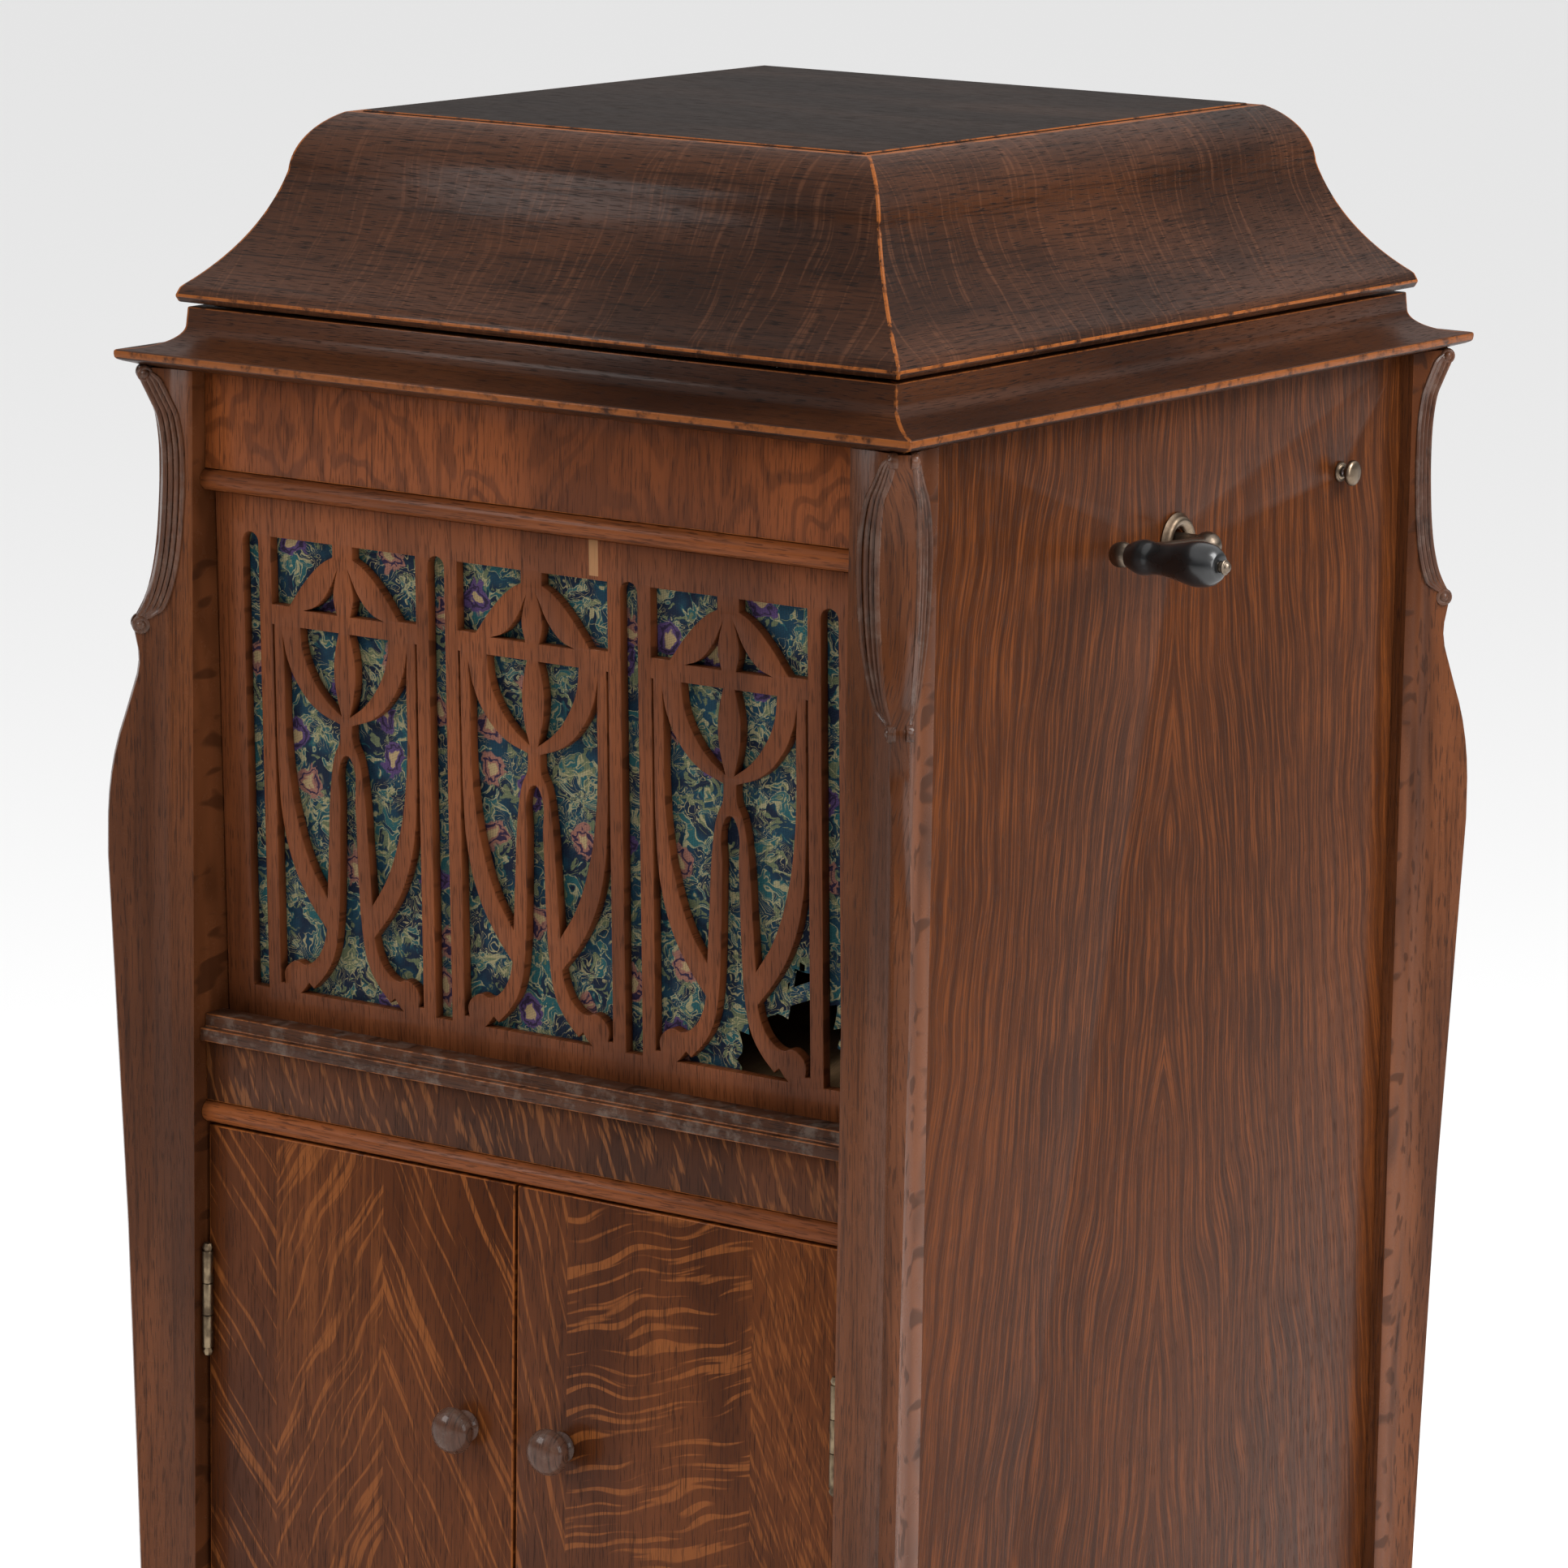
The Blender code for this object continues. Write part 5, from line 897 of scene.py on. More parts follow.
def fret_mesh(edge):
    curve = bpy.data.curves.new("fret_curve", "CURVE")
    curve.dimensions, curve.fill_mode, curve.resolution_u = "2D", "BOTH", 8
    curve.extrude = (PANEL_T / 2 - edge) * MM
    curve.bevel_depth, curve.bevel_resolution, curve.offset = edge * MM, 1, -edge * MM
    for loop in loops:
        bent = any(len(p) > 2 for p in loop)
        spline = curve.splines.new("BEZIER" if bent else "POLY")
        spline.use_cyclic_u = True
        knots = spline.bezier_points if bent else spline.points
        knots.add(len(loop) - 1)
        for knot, p in zip(knots, loop):
            if bent:
                knot.co = (p[0] * MM, (p[1] + PANEL_H) * MM, 0)
                knot.handle_left_type = knot.handle_right_type = "AUTO" if len(p) > 2 else "VECTOR"
            else:
                knot.co = (p[0] * MM, (p[1] + PANEL_H) * MM, 0, 1)
    flat = bpy.data.objects.new("fret_curve", curve)
    bpy.context.scene.collection.objects.link(flat)
    mesh = bpy.data.meshes.new_from_object(flat.evaluated_get(bpy.context.evaluated_depsgraph_get()))
    bpy.data.objects.remove(flat)
    return mesh


bm = bmesh.new()
bm.from_mesh(fret_mesh(0.5))
bmesh.ops.remove_doubles(bm, verts=bm.verts, dist=2e-6)
stand_up = TILT @ Matrix.Translation((0, PANEL_T / 2 * MM, 0)) @ Matrix.Rotation(math.radians(90), 4, "X")
bmesh.ops.transform(bm, matrix=stand_up, verts=bm.verts)
bmesh.ops.recalc_face_normals(bm, faces=bm.faces)
bm.faces.layers.float.new("worn")
finished("grille_fret", bm, OAK["fret"], "grille", ("grille_panel",), 50.0)
print("fret:", len(loops) - 1, "holes")

# %% Cloth behind the fret
CLOTH_W, CLOTH_H = 2 * (PANEL_HALF - 8), PANEL_H - 16
bm = bmesh.new()
across, upward = 110, 74
random.seed(7)
points = {}
for i in range(across + 1):
    for j in range(upward + 1):
        u, v = (i / across - 0.5) * CLOTH_W, 8 + j / upward * CLOTH_H
        sag = 0.9 * math.sin(math.pi * i / across) * math.sin(math.pi * j / upward)
        ripple = 0.25 * math.sin(u * 0.11 + v * 0.05) + 0.2 * math.sin(u * 0.05 - v * 0.13)
        spot = Vector((u, PANEL_T + 0.5 + sag + ripple * sag, v)) * MM
        points[i, j] = spot
TEAR = (176.0, 30.0)


def tear_edge(u, v):
    """How far a spot is outside the ragged hole, as a share of the hole's reach in that direction."""
    ragged = 1.0 + 0.16 * math.sin(u * 0.35) + 0.12 * math.sin(v * 0.47 + 1.0)
    return math.hypot((u - TEAR[0]) / 39, (v - TEAR[1]) / (58 if u > TEAR[0] else 30)) / math.sqrt(ragged)


made = {key: bm.verts.new(TILT @ spot) for key, spot in points.items()}
for i in range(across):
    for j in range(upward):
        if tear_edge((((i + 0.5) / across) - 0.5) * CLOTH_W, 8 + (j + 0.5) / upward * CLOTH_H) > 1:
            bm.faces.new((made[i, j], made[i + 1, j], made[i + 1, j + 1], made[i, j + 1]))
for (i, j), vert in made.items():
    u, v = (i / across - 0.5) * CLOTH_W, 8 + j / upward * CLOTH_H
    if vert.link_faces and vert.is_boundary and tear_edge(u, v) < 1.3 and 0 < i < across and 0 < j < upward:
        for _ in range(4):
            away = 1 / max(tear_edge(u, v), 0.05)
            u, v = TEAR[0] + (u - TEAR[0]) * away, TEAR[1] + (v - TEAR[1]) * away
        vert.co = TILT @ (Vector((u, points[i, j].y / MM, v)) * MM)
bmesh.ops.delete(bm, geom=[v for v in bm.verts if not v.link_faces], context="VERTS")
bmesh.ops.recalc_face_normals(bm, faces=bm.faces)
bmesh.ops.solidify(bm, geom=bm.faces[:], thickness=0.5 * MM)
cloth = finished("grille_brocade_cloth", bm, SOFT["cloth"], "grille", ("grille_cloth",), 60.0)
print("cloth", round(CLOTH_W), "by", round(CLOTH_H), "mm")

# %% [markdown]
# ## Turned fittings
# Knobs, the crank's grip, its cap and its escutcheon were all made on a lathe, so each is a profile
# turned about an axis. A smooth curve through a few points gives the profile its swell.

# %% Knobs, grip and escutcheon
def swell(points, steps=5):
    """A smooth profile through (radius, height) points."""
    return [(max(p.x, 0.0), p.y) for p in smooth_line([(r, h, 0) for r, h in points], steps)]


FRONT = -283.0
OAK["knob"] = oak("knob_oak", (0.042, 0.019, 0.012), (0.10, 0.045, 0.028), "XZ", worn=0.0, gloss=0.26,
                  coat=0.3, grey=0.18)
for side, word in ((-1, "left"), (1, "right")):
    bm = bmesh.new()
    head = [(0, 0.5), (9.3, 0.5), (9.5, 1.4)] + swell([(7.2, 4.0), (7.3, 6.3), (10.6, 8.6), (13.6, 12.2),
                                                       (13.7, 15.4),
                                                     (11.4, 19.6), (7.2, 22.0), (3.0, 22.9), (0, 23)])
    lathe(bm, head, at(side * 35.3, FRONT, 490.5), (0, -1, 0))
    finished("door_knob_" + word + "_finish", bm, OAK["knob"], "door_" + word,
             ("door_knob_" + word,), 50.0)

SIDE_X, SHAFT = 263.0, (2.0, 1014.7)
bm = bmesh.new()
collar = [(9.2, 0.5), (17.3, 0.5)] + swell([(17.4, 1.0), (16.2, 2.4), (14.9, 4.2), (13.2, 5.0), (11.3, 4.6),
                                            (9.6, 3.2), (8.7, 1.6)])
lathe(bm, collar, at(SIDE_X, *SHAFT), (1, 0, 0), 64)
for vert in bm.verts:
    vert.co.x = min(vert.co.x, at(SIDE_X + 5.2, 0, 0).x)
finished("crank_escutcheon_finish", bm, METAL["escutcheon"], "cabinet", ("crank_escutcheon",),
         50.0)

raised = math.radians(4.8)
hub = at(SIDE_X + 22, *SHAFT)
reach = Vector((9.0, -107.4 * math.cos(raised), 107.4 * math.sin(raised))) * MM
eye_end = hub + reach
grip_y, grip_z = eye_end.y / MM, eye_end.z / MM
bm = bmesh.new()
grip = [(3.4, 0.6), (6.0, 0.4)] + swell([(6.8, 0.9), (8.6, 4.6), (10.2, 9.5), (10.0, 14.0), (9.1, 19.5),
                                         (9.4, 27), (11.0, 35.5),
                                        (12.8, 44), (13.0, 50), (11.6, 56.5), (8.6, 60.6), (6.6, 61.6)],
                                        6) + [(3.4, 61.7)]
lathe(bm, grip, at(298, grip_y, grip_z), (1, 0, 0), 56)
finished("crank_grip_finish", bm, SOFT["grip"], "crank_grip", ("crank_grip",), 60.0)
tell()

# %% [markdown]
# The crank is a forged bar: an oval arm that leans out from the panel so that the grip clears the
# cornice, with a round boss at each end. The shaft that enters the cabinet and its bevel pinion stay as
# the packed model has them, under a bar of the same size.

# %% Crank arm and cap
bm = bmesh.new()
bm.from_mesh(frame["nodes"]["crank"].data)
bmesh.ops.remove_doubles(bm, verts=bm.verts, dist=2e-6)
bmesh.ops.dissolve_limit(bm, angle_limit=math.radians(0.6), verts=bm.verts, edges=bm.edges)
inside = at(SIDE_X + 13, 0, 0).x
bmesh.ops.bisect_plane(bm, geom=bm.verts[:] + bm.edges[:] + bm.faces[:], plane_co=(inside, 0, 0),
                       plane_no=(1, 0, 0), clear_outer=True)
bmesh.ops.holes_fill(bm, edges=[edge for edge in bm.edges if edge.is_boundary], sides=0)
bmesh.ops.recalc_face_normals(bm, faces=bm.faces)
shaft_start = at(SIDE_X + 12.6, *SHAFT)
pipe(bm, [shaft_start, hub + Vector((-0.004, 0, 0)), hub + Vector((0.0042, 0, 0)),
          hub + Vector((0.0056, 0, 0))],
     [5.9, 6.0, 5.6, 3.6], 32)
line = smooth_line([hub + reach * share for share in (-0.055, 0.0, 0.10, 0.35, 0.7, 0.93, 1.0, 1.055)], 5)
width = []
for spot in line:
    share = (spot - hub).dot(reach) / reach.length_squared
    shoulder = 5.0 + 0.8 * abs(2 * share - 1)
    if share < 0.5:
        boss = max(0.0, 1 - (share / 0.07) ** 2) * 2.6
    else:
        boss = max(0.0, 1 - ((share - 1) / 0.065) ** 2) * 1.6
    tip_off = min(1.0, max(0.0, share + 0.056) / 0.03, max(0.0, 1.056 - share) / 0.03)
    width.append((shoulder + boss) * max(0.12, math.sqrt(tip_off)))
pipe(bm, line, width, 28)
pipe(bm, [eye_end + Vector((-0.0045, 0, 0)), eye_end + Vector((0.006, 0, 0)), at(362, grip_y, grip_z),
          at(363.2, grip_y, grip_z)], [3.1, 3.1, 3.0, 3.0], 20)
cap = [(0, -0.6), (4.3, -0.6), (4.4, 0.1), (3.9, 0.7), (3.5, 0.5), (3.3, 0.9), (2.6, 2.0), (1.4, 2.75),
       (0, 3.0)]
lathe(bm, cap, at(363, grip_y, grip_z), (1, 0, 0), 40)
finished("crank_finish", bm, METAL["crank"], "crank", ("crank",), 40.0)
tell()

# %% Tone knob, its rosette and the gate's rod
KNOB = (188.0, 1035.0)
bm = bmesh.new()
knob = [(0, 4.4), (3.3, 4.4)] + swell([(3.3, 4.6), (3.7, 5.5), (5.6, 6.6), (7.6, 7.6), (7.8, 9.4),
                                       (6.6, 10.9), (3.6, 11.7), (0, 11.95)])
lathe(bm, knob, at(SIDE_X, *KNOB), (1, 0, 0), 40)
finished("tone_knob_finish", bm, METAL["escutcheon"], "tone_control", ("tone_knob",), 50.0)
bm = bmesh.new()
rosette = [(2.9, 0.3), (6.2, 0.3), (6.3, 0.9), (5.5, 1.9), (4.7, 1.6), (3.8, 2.6), (2.9, 2.7)]
lathe(bm, rosette, at(SIDE_X, *KNOB), (1, 0, 0), 40)
finished("tone_rosette", bm, METAL["escutcheon"], "cabinet", (), 50.0)
eased("tone_gate", METAL["steel"], "tone_control", 0.25)
tell()

# %% [markdown]
# ## Hinges
# The door hinges are brass butts with ball tips, and keep their packed shape with eased edges. The lid's
# butts have a second leaf that is screwed to the lid and turns with it, and it is added here.

# %% Hinges of the doors and the lid
for side in ("left", "right"):
    for level in ("upper", "lower"):
        eased(f"hinge_{side}_{level}", METAL["brass"], "cabinet", 0.12, corner=50.0)
        eased(f"hinge_leaf_{side}_{level}", METAL["brass"], "door_" + side, 0.12, corner=50.0)
    eased("lid_hinge_" + side, METAL["brass"], "cabinet", 0.15, corner=50.0)
HINGE_Y, HINGE_Z = 287.0, TIP_Z / MM + 28.95
bm = bmesh.new()
for middle in (-150, 150):
    pipe(bm, [at(middle - 9.6, HINGE_Y, HINGE_Z), at(middle + 9.6, HINGE_Y, HINGE_Z)], [3.4, 3.4], 24)
    slab(bm, at(middle - 9.6, HINGE_Y - 20.6, HINGE_Z + 0.25),
         at(middle + 9.6, HINGE_Y - 0.4, HINGE_Z + 1.25))
finished("lid_hinge_leaves", bm, METAL["brass"], "lid", (), 40.0)
tell()

# %% [markdown]
# ## Under the lid
# The turntable is a nickelled pan covered with green baize. The tonearm is one tapered tube that rises
# from its bracket, bends forward and carries the sound box on a swivelling neck. The sound box has a
# ring, a diaphragm of mica, and the bar that holds the needle.

# %% Turntable
TABLE = at(-25, -5, 0)
bm = bmesh.new()
rim = [(3.9, 15.0), (148, 15.0)] + swell([(149.5, 15.0), (151.4, 14.6), (152.3, 13.0), (152.4, 10.0)]) + [
    (152.4, 1.0), (151.8, 0.1), (149.4, 0.1), (148.6, 1.0), (148.4, 9.4), (146, 10.6), (22, 10.6),
    (19, 9.6), (13.5, 2.4),
    (12, 1.1), (3.9, 1.1)]
rim = [(r, min(h, 14.0)) for r, h in rim]
lathe(bm, rim, TABLE + Vector((0, 0, 1.112)), (0, 0, 1), 128)
finished("turntable_finish", bm, METAL["nickel"], "turntable", ("turntable",), 30.0)
bm = bmesh.new()
pad = [(4.3, 14.3), (149.0, 14.3), (149.4, 14.8), (149.2, 15.7), (148.2, 16.25), (5.2, 16.25), (4.3, 15.7)]
lathe(bm, pad, TABLE + Vector((0, 0, 1.112)), (0, 0, 1), 128)
finished("turntable_felt_finish", bm, SOFT["felt"], "turntable", ("turntable_felt",), 40.0)
eased("turntable_spindle", METAL["steel"], "turntable", 0.3)
tell()

# %% Tonearm and its bracket
ARM = at(118, 188, 1160)
park = math.radians(10.883659)
ahead = Matrix.Rotation(park, 3, "Z")


def on_arm(y, z):
    return ARM + ahead @ (Vector((0, y, z)) * MM)


bm = bmesh.new()
joint = -173.2
rise = smooth_line([on_arm(0, -31.7), on_arm(0, -24), on_arm(-1.6, -15), on_arm(-9, -6.5), on_arm(-20, -1.6),
                    on_arm(-34, 0), on_arm(joint * 0.5, 0), on_arm(joint + 2, 0)], 6)
bulk = [p.x for p in smooth_line([(20, 0, 0), (19.9, 0, 0), (19.2, 0, 0), (18.4, 0, 0), (17.4, 0, 0),
                                  (16.4, 0, 0), (13.0, 0, 0), (9.5, 0, 0)], 6)]
pipe(bm, rise, bulk, 40)
for y, radius in ((-38, 17.4), (joint + 4, 10.4)):
    ring = [(radius - 2.2, -3.2), (radius - 0.4, -3.0), (radius, -1.6), (radius, 1.6), (radius - 0.4, 3.0),
            (radius - 2.2, 3.2)]
    lathe(bm, ring, on_arm(y, 0), ahead @ Vector((0, -1, 0)), 40)
finished("tonearm_finish", bm, METAL["nickel"], "tonearm", ("tonearm",), 40.0)

bm = bmesh.new()
seat = [(20.5, 127.8), (23.4, 127.8), (23.6, 127.2), (23.6, 106.0), (24.4, 103.6), (27, 102.6),
        (34.6, 102.0), (35.8, 100.9),
        (36, 96.4), (23.5, 96.4), (23.5, 38.0), (20.5, 38.0)]
seat = [(r, 1000 + h) for r, h in seat]
lathe(bm, seat, at(118, 188, 0), (0, 0, 1), 56)
finished("tonearm_bracket_finish", bm, METAL["nickel"], "cabinet", ("tonearm_bracket",), 35.0)
tell()

# %% Sound box
box_at = on_arm(joint - 70, 10)
face = ahead @ Vector((1, 0, 0))
bm = bmesh.new()
neck = smooth_line([on_arm(joint - 1.5, 0), on_arm(joint - 14, 1), on_arm(joint - 26, 8),
                    on_arm(joint - 45, 10)], 6)
thick = [p.x for p in smooth_line([(9, 0, 0), (8.5, 0, 0), (8, 0, 0), (8, 0, 0)], 6)]
pipe(bm, neck, thick, 32)
lathe(bm, [(7.8, -2.6), (9.6, -2.4), (10, -1.4), (10, 1.4), (9.6, 2.4), (7.8, 2.6)], on_arm(joint - 30, 8.8),
      ahead @ Vector((0, -1, 0.12)), 36)
finished("sound_box_neck_finish", bm, METAL["nickel"], "sound_box", ("sound_box_neck",), 40.0)
bm = bmesh.new()
shell = [(0, -6.9), (15, -6.9), (16.5, -6.2), (22.6, -5.6), (24.4, -4.4), (25, -2.6), (25, 2.6),
         (24.4, 4.8), (22.6, 5.9),
         (20.0, 6.5), (19.0, 6.3), (18.6, 5.0), (18.4, 3.2), (0, 3.0)]
lathe(bm, shell, box_at, face, 64)
for turn in range(3):
    a = 2 * math.pi * turn / 3 + 0.5
    spot = box_at + ahead @ Vector((0, math.cos(a), math.sin(a))) * 0.0217
    lathe(bm, [(0, 5.4), (1.9, 5.4), (1.9, 6.6), (1.2, 7.0), (0, 7.0)], spot, face, 12)
low_point = box_at - Vector((0, 0, 0.0232))
pipe(bm, [low_point, box_at - Vector((0, 0, 0.0318))], [2.9, 2.5], 20)
bar = smooth_line([box_at + Vector((0, 0, -0.0262)) + face * 0.0045,
                   box_at + Vector((0, 0, -0.018)) + face * 0.0064,
                   box_at + Vector((0, 0, -0.008)) + face * 0.0056, box_at + face * 0.0040], 5)
pipe(bm, bar, [1.5 - 0.6 * i / len(bar) for i in range(len(bar))], 12)
finished("sound_box_finish", bm, METAL["nickel"], "sound_box", ("sound_box",), 35.0)
bm = bmesh.new()
lathe(bm, [(0, 3.1), (18.3, 3.1), (18.3, 3.5), (12, 3.7), (0, 4.2)], box_at, face, 48)
finished("mica_diaphragm", bm, METAL["mica"], "sound_box", (), 60.0)
eased("needle", METAL["steel"], "sound_box", 0.12)
tell()

# %% [markdown]
# The brake is a small lever with a leather pad, and the speed pointer runs over a scale. The scale's
# marks all have one shape and follow an arc, so a node tree sets them: points on an arc, a bar on each,
# turned outwards.

# %% Brake, speed pointer and the scale's marks
eased("brake_lever", METAL["nickel"], "brake", 0.4)
eased("speed_pointer", METAL["nickel"], "speed_pointer", 0.4)

away = Vector((math.cos(math.radians(-42)), math.sin(math.radians(-42)), 0))
along = Vector((-away.y, away.x, 0))
touch = at(-25, -5, 1117) + away * 0.1530
bm = bmesh.new()
pad_corners = [touch + along * (a * MM) + away * (b * MM) + Vector((0, 0, c * MM))
               for c in (-2.5, 2.5) for a, b in ((-7.1, 0.2), (5.1, 0.2), (5.1, 1.6), (-7.1, 1.6))]
verts = [bm.verts.new(spot) for spot in pad_corners]
for quad in ((0, 1, 2, 3), (7, 6, 5, 4), (0, 4, 5, 1), (1, 5, 6, 2), (2, 6, 7, 3), (3, 7, 4, 0)):
    bm.faces.new([verts[i] for i in quad])
bmesh.ops.recalc_face_normals(bm, faces=bm.faces)
bmesh.ops.bevel(bm, geom=bm.edges[:], offset=0.4 * MM, segments=2, profile=0.5, affect="EDGES")
finished("brake_leather", bm, SOFT["leather"], "brake", (), 50.0)

DIAL = at(-193, -197, 1096.2)
bm = bmesh.new()
lathe(bm, [(6, 0), (27.4, 0), (28, 0.3), (27.6, 0.7), (6, 0.7)], DIAL, (0, 0, 1), 64)
finished("speed_plate", bm, METAL["dull_nickel"], "cabinet", (), 40.0)

MARKS = new_tree("scale_marks", (("Marks", "Int", 9), ("Ring Radius", "Float", 0.0235),
                                 ("Mark Length", "Float", 0.004),
                                 ("Mark Width", "Float", 0.0007), ("Sweep", "Float", 1.4),
                                 ("Finish", "Material", None)))
start, end = MARKS.nodes["in"], MARKS.nodes["out"]
half_sweep = step(MARKS, "ShaderNodeMath", {0: (start, "Sweep"), 1: -0.5}, operation="MULTIPLY")
ring = step(MARKS, "GeometryNodeCurveArc", {"Resolution": (start, "Marks"), "Radius": (start, "Ring Radius"),
                                           "Start Angle": (half_sweep, "Value"),
                                           "Sweep Angle": (start, "Sweep")})
dots = step(MARKS, "GeometryNodeCurveToPoints", {"Curve": (ring, "Curve")}, mode="EVALUATED")
size = step(MARKS, "ShaderNodeCombineXYZ", {"X": (start, "Mark Length"), "Y": (start, "Mark Width"),
                                            "Z": 0.0004})
bar = step(MARKS, "GeometryNodeMeshCube", {"Size": (size, "Vector")})
spot = step(MARKS, "GeometryNodeInputPosition")
angle = step(MARKS, "FunctionNodeAlignRotationToVector", {"Vector": (spot, "Position")}, axis="X")
copies = step(MARKS, "GeometryNodeInstanceOnPoints", {"Points": (dots, "Points"), "Instance": (bar, "Mesh"),
                                                     "Rotation": (angle, "Rotation")})
real = step(MARKS, "GeometryNodeRealizeInstances", {"Geometry": (copies, "Instances")})
coat = step(MARKS, "GeometryNodeSetMaterial", {"Geometry": (real, "Geometry"), "Material": (start, "Finish")})
MARKS.links.new(coat.outputs["Geometry"], end.inputs["Geometry"])
marks = grown(MARKS, bpy.data.meshes.new("nothing"), {"Marks": 9, "Ring Radius": 0.0235, "Mark Length": 0.004,
                                                      "Mark Width": 0.0007, "Sweep": 1.4,
                                                      "Finish": METAL["iron"]})
marks.transform(Matrix.Translation(DIAL + Vector((0, 0, 0.00085))))
plain_piece("speed_scale_marks", marks, "cabinet")
tell()

# %% [markdown]
# ## Screws
# Wood screws hold the tonearm bracket, the brake, the speed plate and the hinge leaves. Every one is the
# same slotted round head, so one node tree sets those of the bracket, the speed plate and the lid's hinges:
# a head on each point, turned to the face that it sits on and by its own angle, because nobody lines the
# slots up.

# %% A node tree for screw heads
def screw_head():
    """A round head with a slot, as a plain mesh of a few dozen faces, one unit across its radius."""
    bm = bmesh.new()
    lathe(bm, [(0, -200), (1000, -200), (1000, 100), (800, 420), (450, 600), (0, 660)], Vector((0, 0, 0)),
          (0, 0, 1), 16)
    mesh = bpy.data.meshes.new("screw_head")
    bm.to_mesh(mesh)
    bm.free()
    cutter_bm = bmesh.new()
    slab(cutter_bm, Vector((-1.2, -0.14, 0.28)), Vector((1.2, 0.14, 1.0)))
    cutter = bpy.data.meshes.new("slot_cutter")
    cutter_bm.to_mesh(cutter)
    cutter_bm.free()
    tool = bpy.data.objects.new("slot_cutter", cutter)
    head = bpy.data.objects.new("screw_head", mesh)
    for thing in (tool, head):
        bpy.context.scene.collection.objects.link(thing)
    cut = head.modifiers.new("slot", "BOOLEAN")
    cut.object, cut.solver = tool, "EXACT"
    result = bpy.data.meshes.new_from_object(head.evaluated_get(bpy.context.evaluated_depsgraph_get()))
    bpy.data.objects.remove(tool)
    bpy.data.objects.remove(head)
    keep = bpy.data.objects.new("screw_head_source", result)
    return keep


SCREW_HEAD = screw_head()
SCREWS = new_tree("wood_screws", (("Head", "Object", None), ("Head Radius", "Float", 0.0028),
                                  ("Seed", "Int", 11), ("Finish", "Material", None)))
start, end = SCREWS.nodes["in"], SCREWS.nodes["out"]
head = step(SCREWS, "GeometryNodeObjectInfo", {"Object": (start, "Head")})
facing = step(SCREWS, "GeometryNodeInputNamedAttribute", {"Name": "facing"}, data_type="FLOAT_VECTOR")
girth = step(SCREWS, "GeometryNodeInputNamedAttribute", {"Name": "girth"}, data_type="FLOAT")
turned = step(SCREWS, "FunctionNodeAlignRotationToVector", {"Vector": (facing, "Attribute")}, axis="Z")
chance = step(SCREWS, "FunctionNodeRandomValue", {"Seed": (start, "Seed")}, data_type="FLOAT")
chance.inputs[3].default_value = math.pi
own_turn = step(SCREWS, "ShaderNodeCombineXYZ", {"Z": (chance, 1)})
spun = step(SCREWS, "FunctionNodeRotateRotation", {"Rotation": (turned, "Rotation"),
                                                   "Rotate By": (own_turn, "Vector")},
            rotation_space="LOCAL")
scale = step(SCREWS, "ShaderNodeMath", {0: (start, "Head Radius"), 1: (girth, "Attribute")},
             operation="MULTIPLY")
copies = step(SCREWS, "GeometryNodeInstanceOnPoints", {"Points": (start, "Geometry"),
                                                       "Instance": (head, "Geometry"),
                                                      "Rotation": (spun, "Rotation"),
                                                      "Scale": (scale, "Value")})
real = step(SCREWS, "GeometryNodeRealizeInstances", {"Geometry": (copies, "Instances")})
coat = step(SCREWS, "GeometryNodeSetMaterial", {"Geometry": (real, "Geometry"),
                                                "Material": (start, "Finish")})
SCREWS.links.new(coat.outputs["Geometry"], end.inputs["Geometry"])


def screws(name, spots, body, finish, radius=2.8):
    """spots are (point, facing, girth)."""
    mesh = bpy.data.meshes.new(name)
    mesh.from_pydata([spot[0] for spot in spots], [], [])
    mesh.attributes.new("facing", "FLOAT_VECTOR", "POINT").data.foreach_set(
        "vector", [value for spot in spots for value in spot[1]])
    mesh.attributes.new("girth", "FLOAT", "POINT").data.foreach_set("value", [spot[2] for spot in spots])
    made = grown(SCREWS, mesh, {"Head": SCREW_HEAD, "Head Radius": radius * MM, "Seed": 11, "Finish": finish})
    return plain_piece(name, made, body, 35.0)


UP = Vector((0, 0, 1))
bracket = [(at(118, 188, 1102.3) + 0.0300 * Vector((math.cos(a), math.sin(a), 0)), UP, 1.0)
           for a in (math.pi / 6 + 2 * math.pi * i / 3 for i in range(3))]
plate_spots = [(DIAL + Vector((x * MM, y * MM, 0.0007)), UP, 0.75) for x,
               y in ((-20, 8), (-20, -8), (-6, 22), (-6, -22))]
screws("bracket_screws", bracket + plate_spots, "cabinet", METAL["steel"])
print(SCREWS.name, "has", len(SCREWS.nodes), "nodes")

# %% [markdown]
# ## Horn, throat and motor
# The horn is a thin box of boards that narrows back to an iron elbow. The motor hangs in an iron frame: a
# mainspring in its drum, the train of brass wheels up to the spindle, and the governor with its three
# balls on flat springs.

# %% Horn, throat and motor
eased("horn", OAK["pine"], "cabinet", 0.0, corner=50.0)
eased("horn_throat", METAL["iron"], "cabinet", 0.0)
eased("motor_frame", METAL["iron"], "cabinet", 0.5)
for node, finish, body, slot in (("winding_gear", "gear_brass", "winding_gear", "aged_brass"),
                                 ("spring_barrel", "gear_brass", "spring_barrel", "aged_brass"),
                                 ("mainspring", "steel", "spring_barrel", "steel"),
                                 ("intermediate_wheel", "gear_brass", "intermediate_wheel", "aged_brass"),
                                 ("governor", "gear_brass", "governor", "aged_brass")):
    eased(node, METAL[finish], body, 0.15)
tell()

# %% [markdown]
# ## Lid stay
# A slotted brass bar on the left wall holds the lid open. It turns on a rivet in a small bracket, and a
# stud on the lid runs along its slot.

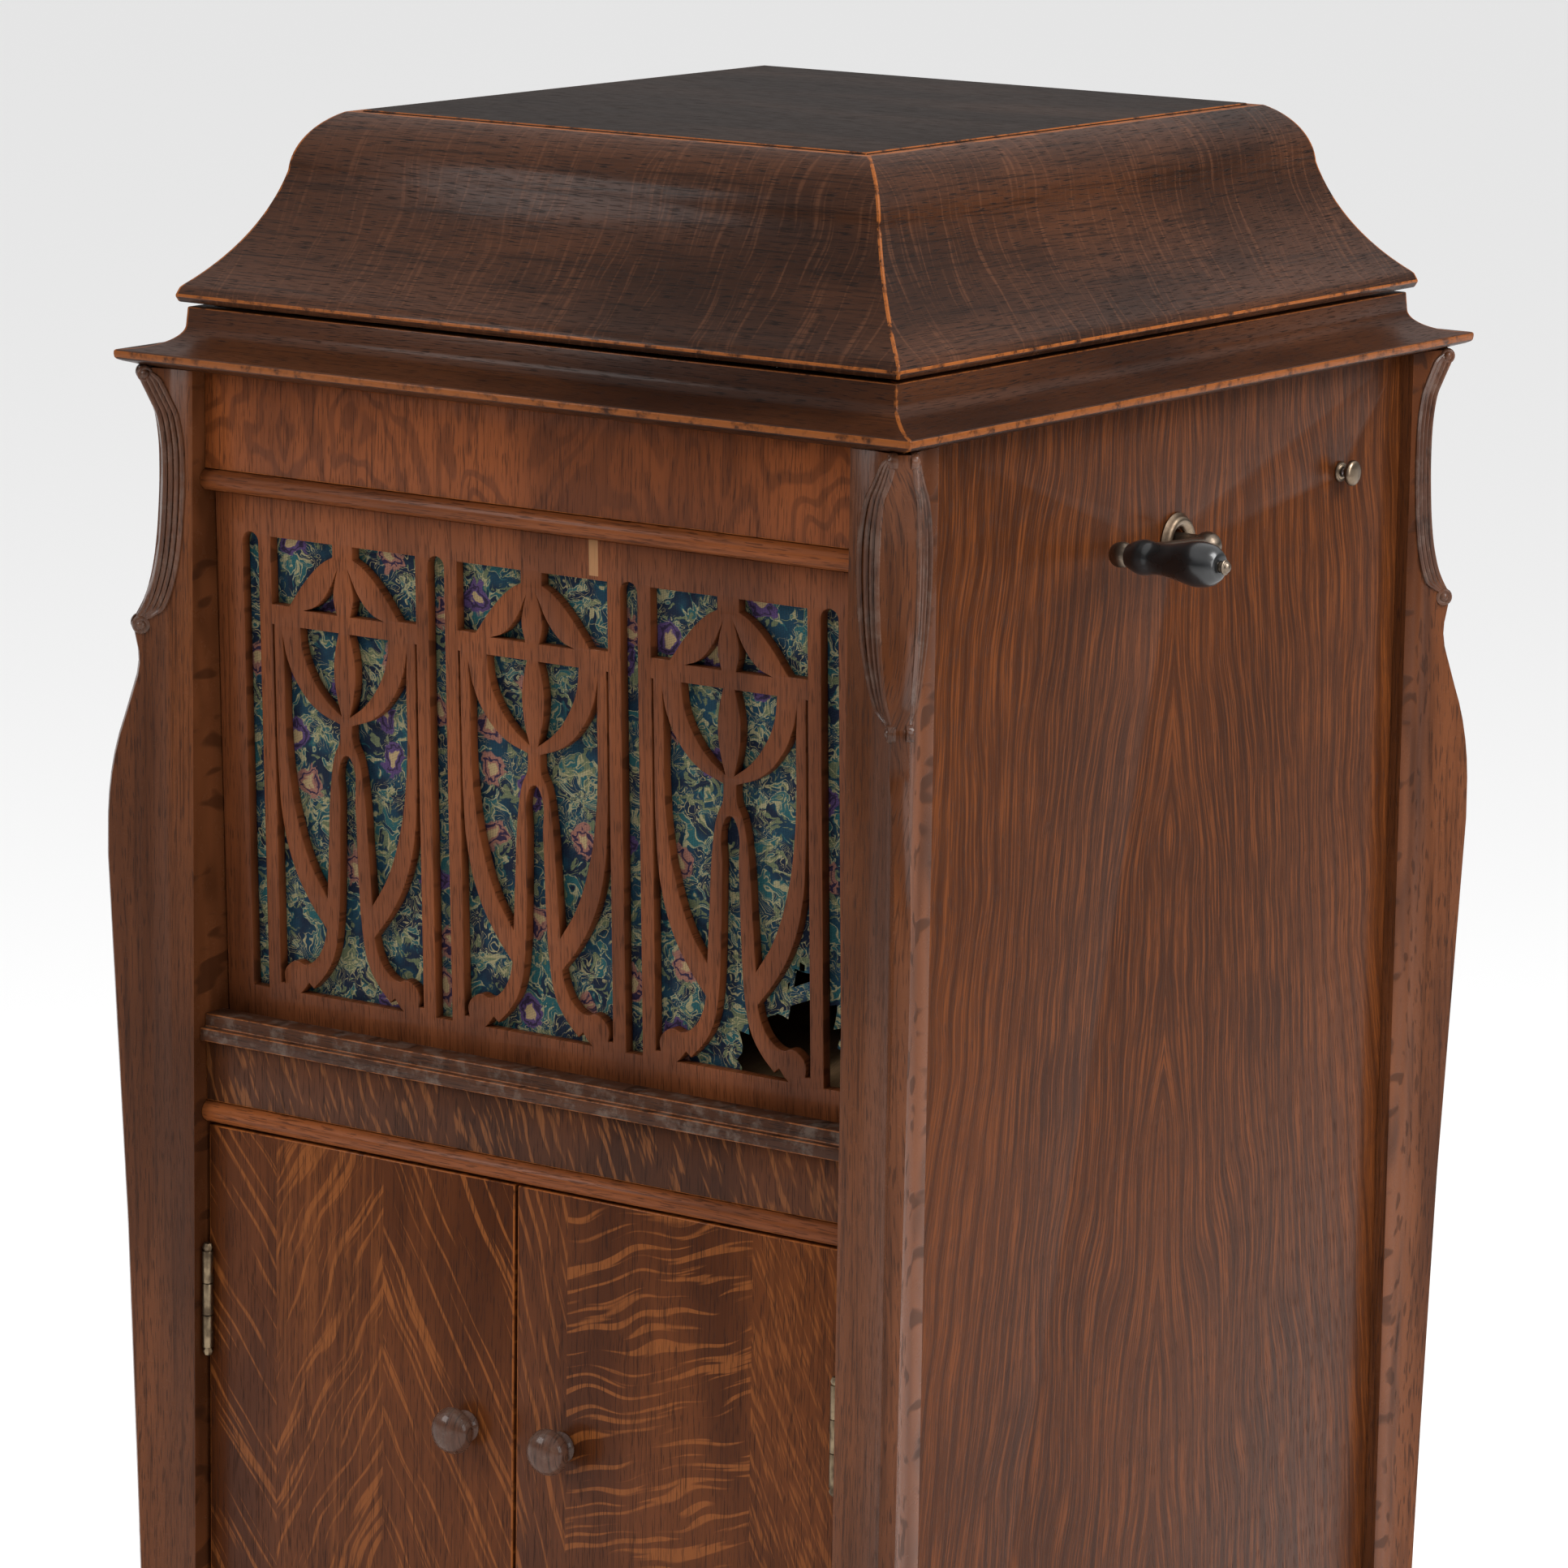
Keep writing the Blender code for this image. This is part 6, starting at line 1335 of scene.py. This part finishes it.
# %% Lid stay, its bracket and its stud
eased("lid_stay", METAL["brass"], "lid_stay", 0.3)
STAY_X = -232.0
bm = bmesh.new()
pivot = at(STAY_X, 205, 1118)
outward = Vector((1, 0, 0))
lathe(bm, [(0, -1.4), (4.2, -1.4), (4.2, -1.1), (0, -1.1)], pivot, outward, 24)
lathe(bm, [(0, 1.1), (3.9, 1.1), (3.4, 1.9), (1.6, 2.5), (0, 2.6)], pivot, outward, 24)
pipe(bm, [at(-242.8, 205, 1118), at(STAY_X - 1.1, 205, 1118)], [3.0, 3.0], 20)
lathe(bm, [(0, 0.2), (9, 0.2), (8.4, 1.2), (0, 1.4)], at(-243, 205, 1118), outward, 32)
finished("lid_stay_rivet", bm, METAL["brass"], "cabinet", (), 40.0)
bm = bmesh.new()
stud = at(STAY_X, 60, 1140)
pipe(bm, [at(-242.8, 60, 1140), stud + outward * 0.0014], [1.7, 1.7], 20)
lathe(bm, [(0, 1.3), (4.0, 1.3), (3.8, 2.0), (0, 2.5)], stud, outward, 24)
lathe(bm, [(0, -4.6), (3.6, -4.6), (3.6, -1.3), (0, -1.3)], stud, outward, 24)
lathe(bm, [(0, 0.2), (8, 0.2), (7.4, 1.2), (0, 1.4)], at(-243, 60, 1140), outward, 32)
finished("lid_stay_stud", bm, METAL["brass"], "lid", (), 40.0)
tell()

# %% [markdown]
# ## Tacks along the cloth
# The cloth is tacked to the back of the fret. The tacks stand at even steps round its edge, so a node
# tree resamples one loop of edges and puts a domed head on every point.

# %% Tacks
TACKS = new_tree("cloth_tacks", (("Spacing", "Float", 0.024), ("Head Radius", "Float", 0.0026),
                                 ("Finish", "Material", None)))
start, end = TACKS.nodes["in"], TACKS.nodes["out"]
loop = step(TACKS, "GeometryNodeMeshToCurve", {"Mesh": (start, "Geometry")})
dots = step(TACKS, "GeometryNodeCurveToPoints", {"Curve": (loop, "Curve"), "Length": (start, "Spacing")},
            mode="LENGTH")
dome = step(TACKS, "GeometryNodeMeshUVSphere", {"Segments": 10, "Rings": 6, "Radius": (start, "Head Radius")})
flat = step(TACKS, "GeometryNodeTransform", {"Geometry": (dome, "Mesh"), "Scale": (1.0, 0.45, 1.0)})
copies = step(TACKS, "GeometryNodeInstanceOnPoints", {"Points": (dots, "Points"),
                                                      "Instance": (flat, "Geometry")})
real = step(TACKS, "GeometryNodeRealizeInstances", {"Geometry": (copies, "Instances")})
coat = step(TACKS, "GeometryNodeSetMaterial", {"Geometry": (real, "Geometry"), "Material": (start, "Finish")})
TACKS.links.new(coat.outputs["Geometry"], end.inputs["Geometry"])
inset = 3.5
border = [(-CLOTH_W / 2 + inset, 8 + inset), (CLOTH_W / 2 - inset, 8 + inset),
          (CLOTH_W / 2 - inset, 4 + CLOTH_H),
          (-CLOTH_W / 2 + inset, 4 + CLOTH_H)]
mesh = bpy.data.meshes.new("tack_line")
mesh.from_pydata([TILT @ (Vector((x, PANEL_T + 1.3, z)) * MM) for x, z in border],
                 [(0, 1), (1, 2), (2, 3), (3, 0)], [])
tacks = grown(TACKS, mesh, {"Spacing": 0.024, "Head Radius": 0.0026, "Finish": METAL["iron"]})
plain_piece("cloth_tacks", tacks, "grille")
tell()

# %% [markdown]
# ## Hinge screws
# The lid's hinges are screwed down where a hand can reach them, on top of the cornice behind the lid.

# %% Screws of the hinges
cabinet_spots = []
for middle in (-150, 150):
    for shift in (-21, 21):
        cabinet_spots.append((at(middle + shift, 276.5, HINGE_Z - 0.2), UP, 0.8))
screws("lid_hinge_screws", cabinet_spots, "cabinet", METAL["brass"], 2.6)
bpy.data.objects.remove(SCREW_HEAD)
tell()

# %% [markdown]
# ## Floor and finish
# A pale floor runs past the edge of the view. The last lines print the packed pieces that are still shown.

# %% Floor
bm = bmesh.new()
bmesh.ops.create_grid(bm, x_segments=1, y_segments=1, size=60.0)
mesh = bpy.data.meshes.new("pale_floor")
bm.to_mesh(mesh)
bm.free()
paint = Finish("floor_paint")
mesh.materials.append(paint.set(Base_Color=(0.90, 0.90, 0.90), Roughness=0.9))
floor = bpy.data.objects.new("pale_floor", mesh)
floor.location.z = -0.0006
bpy.context.scene.collection.objects.link(floor)
tell()

# %% Pieces still shown, and the end
leftover = [name for name, node in frame["nodes"].items() if not node.hide_render]
print("packed pieces still shown:", leftover)
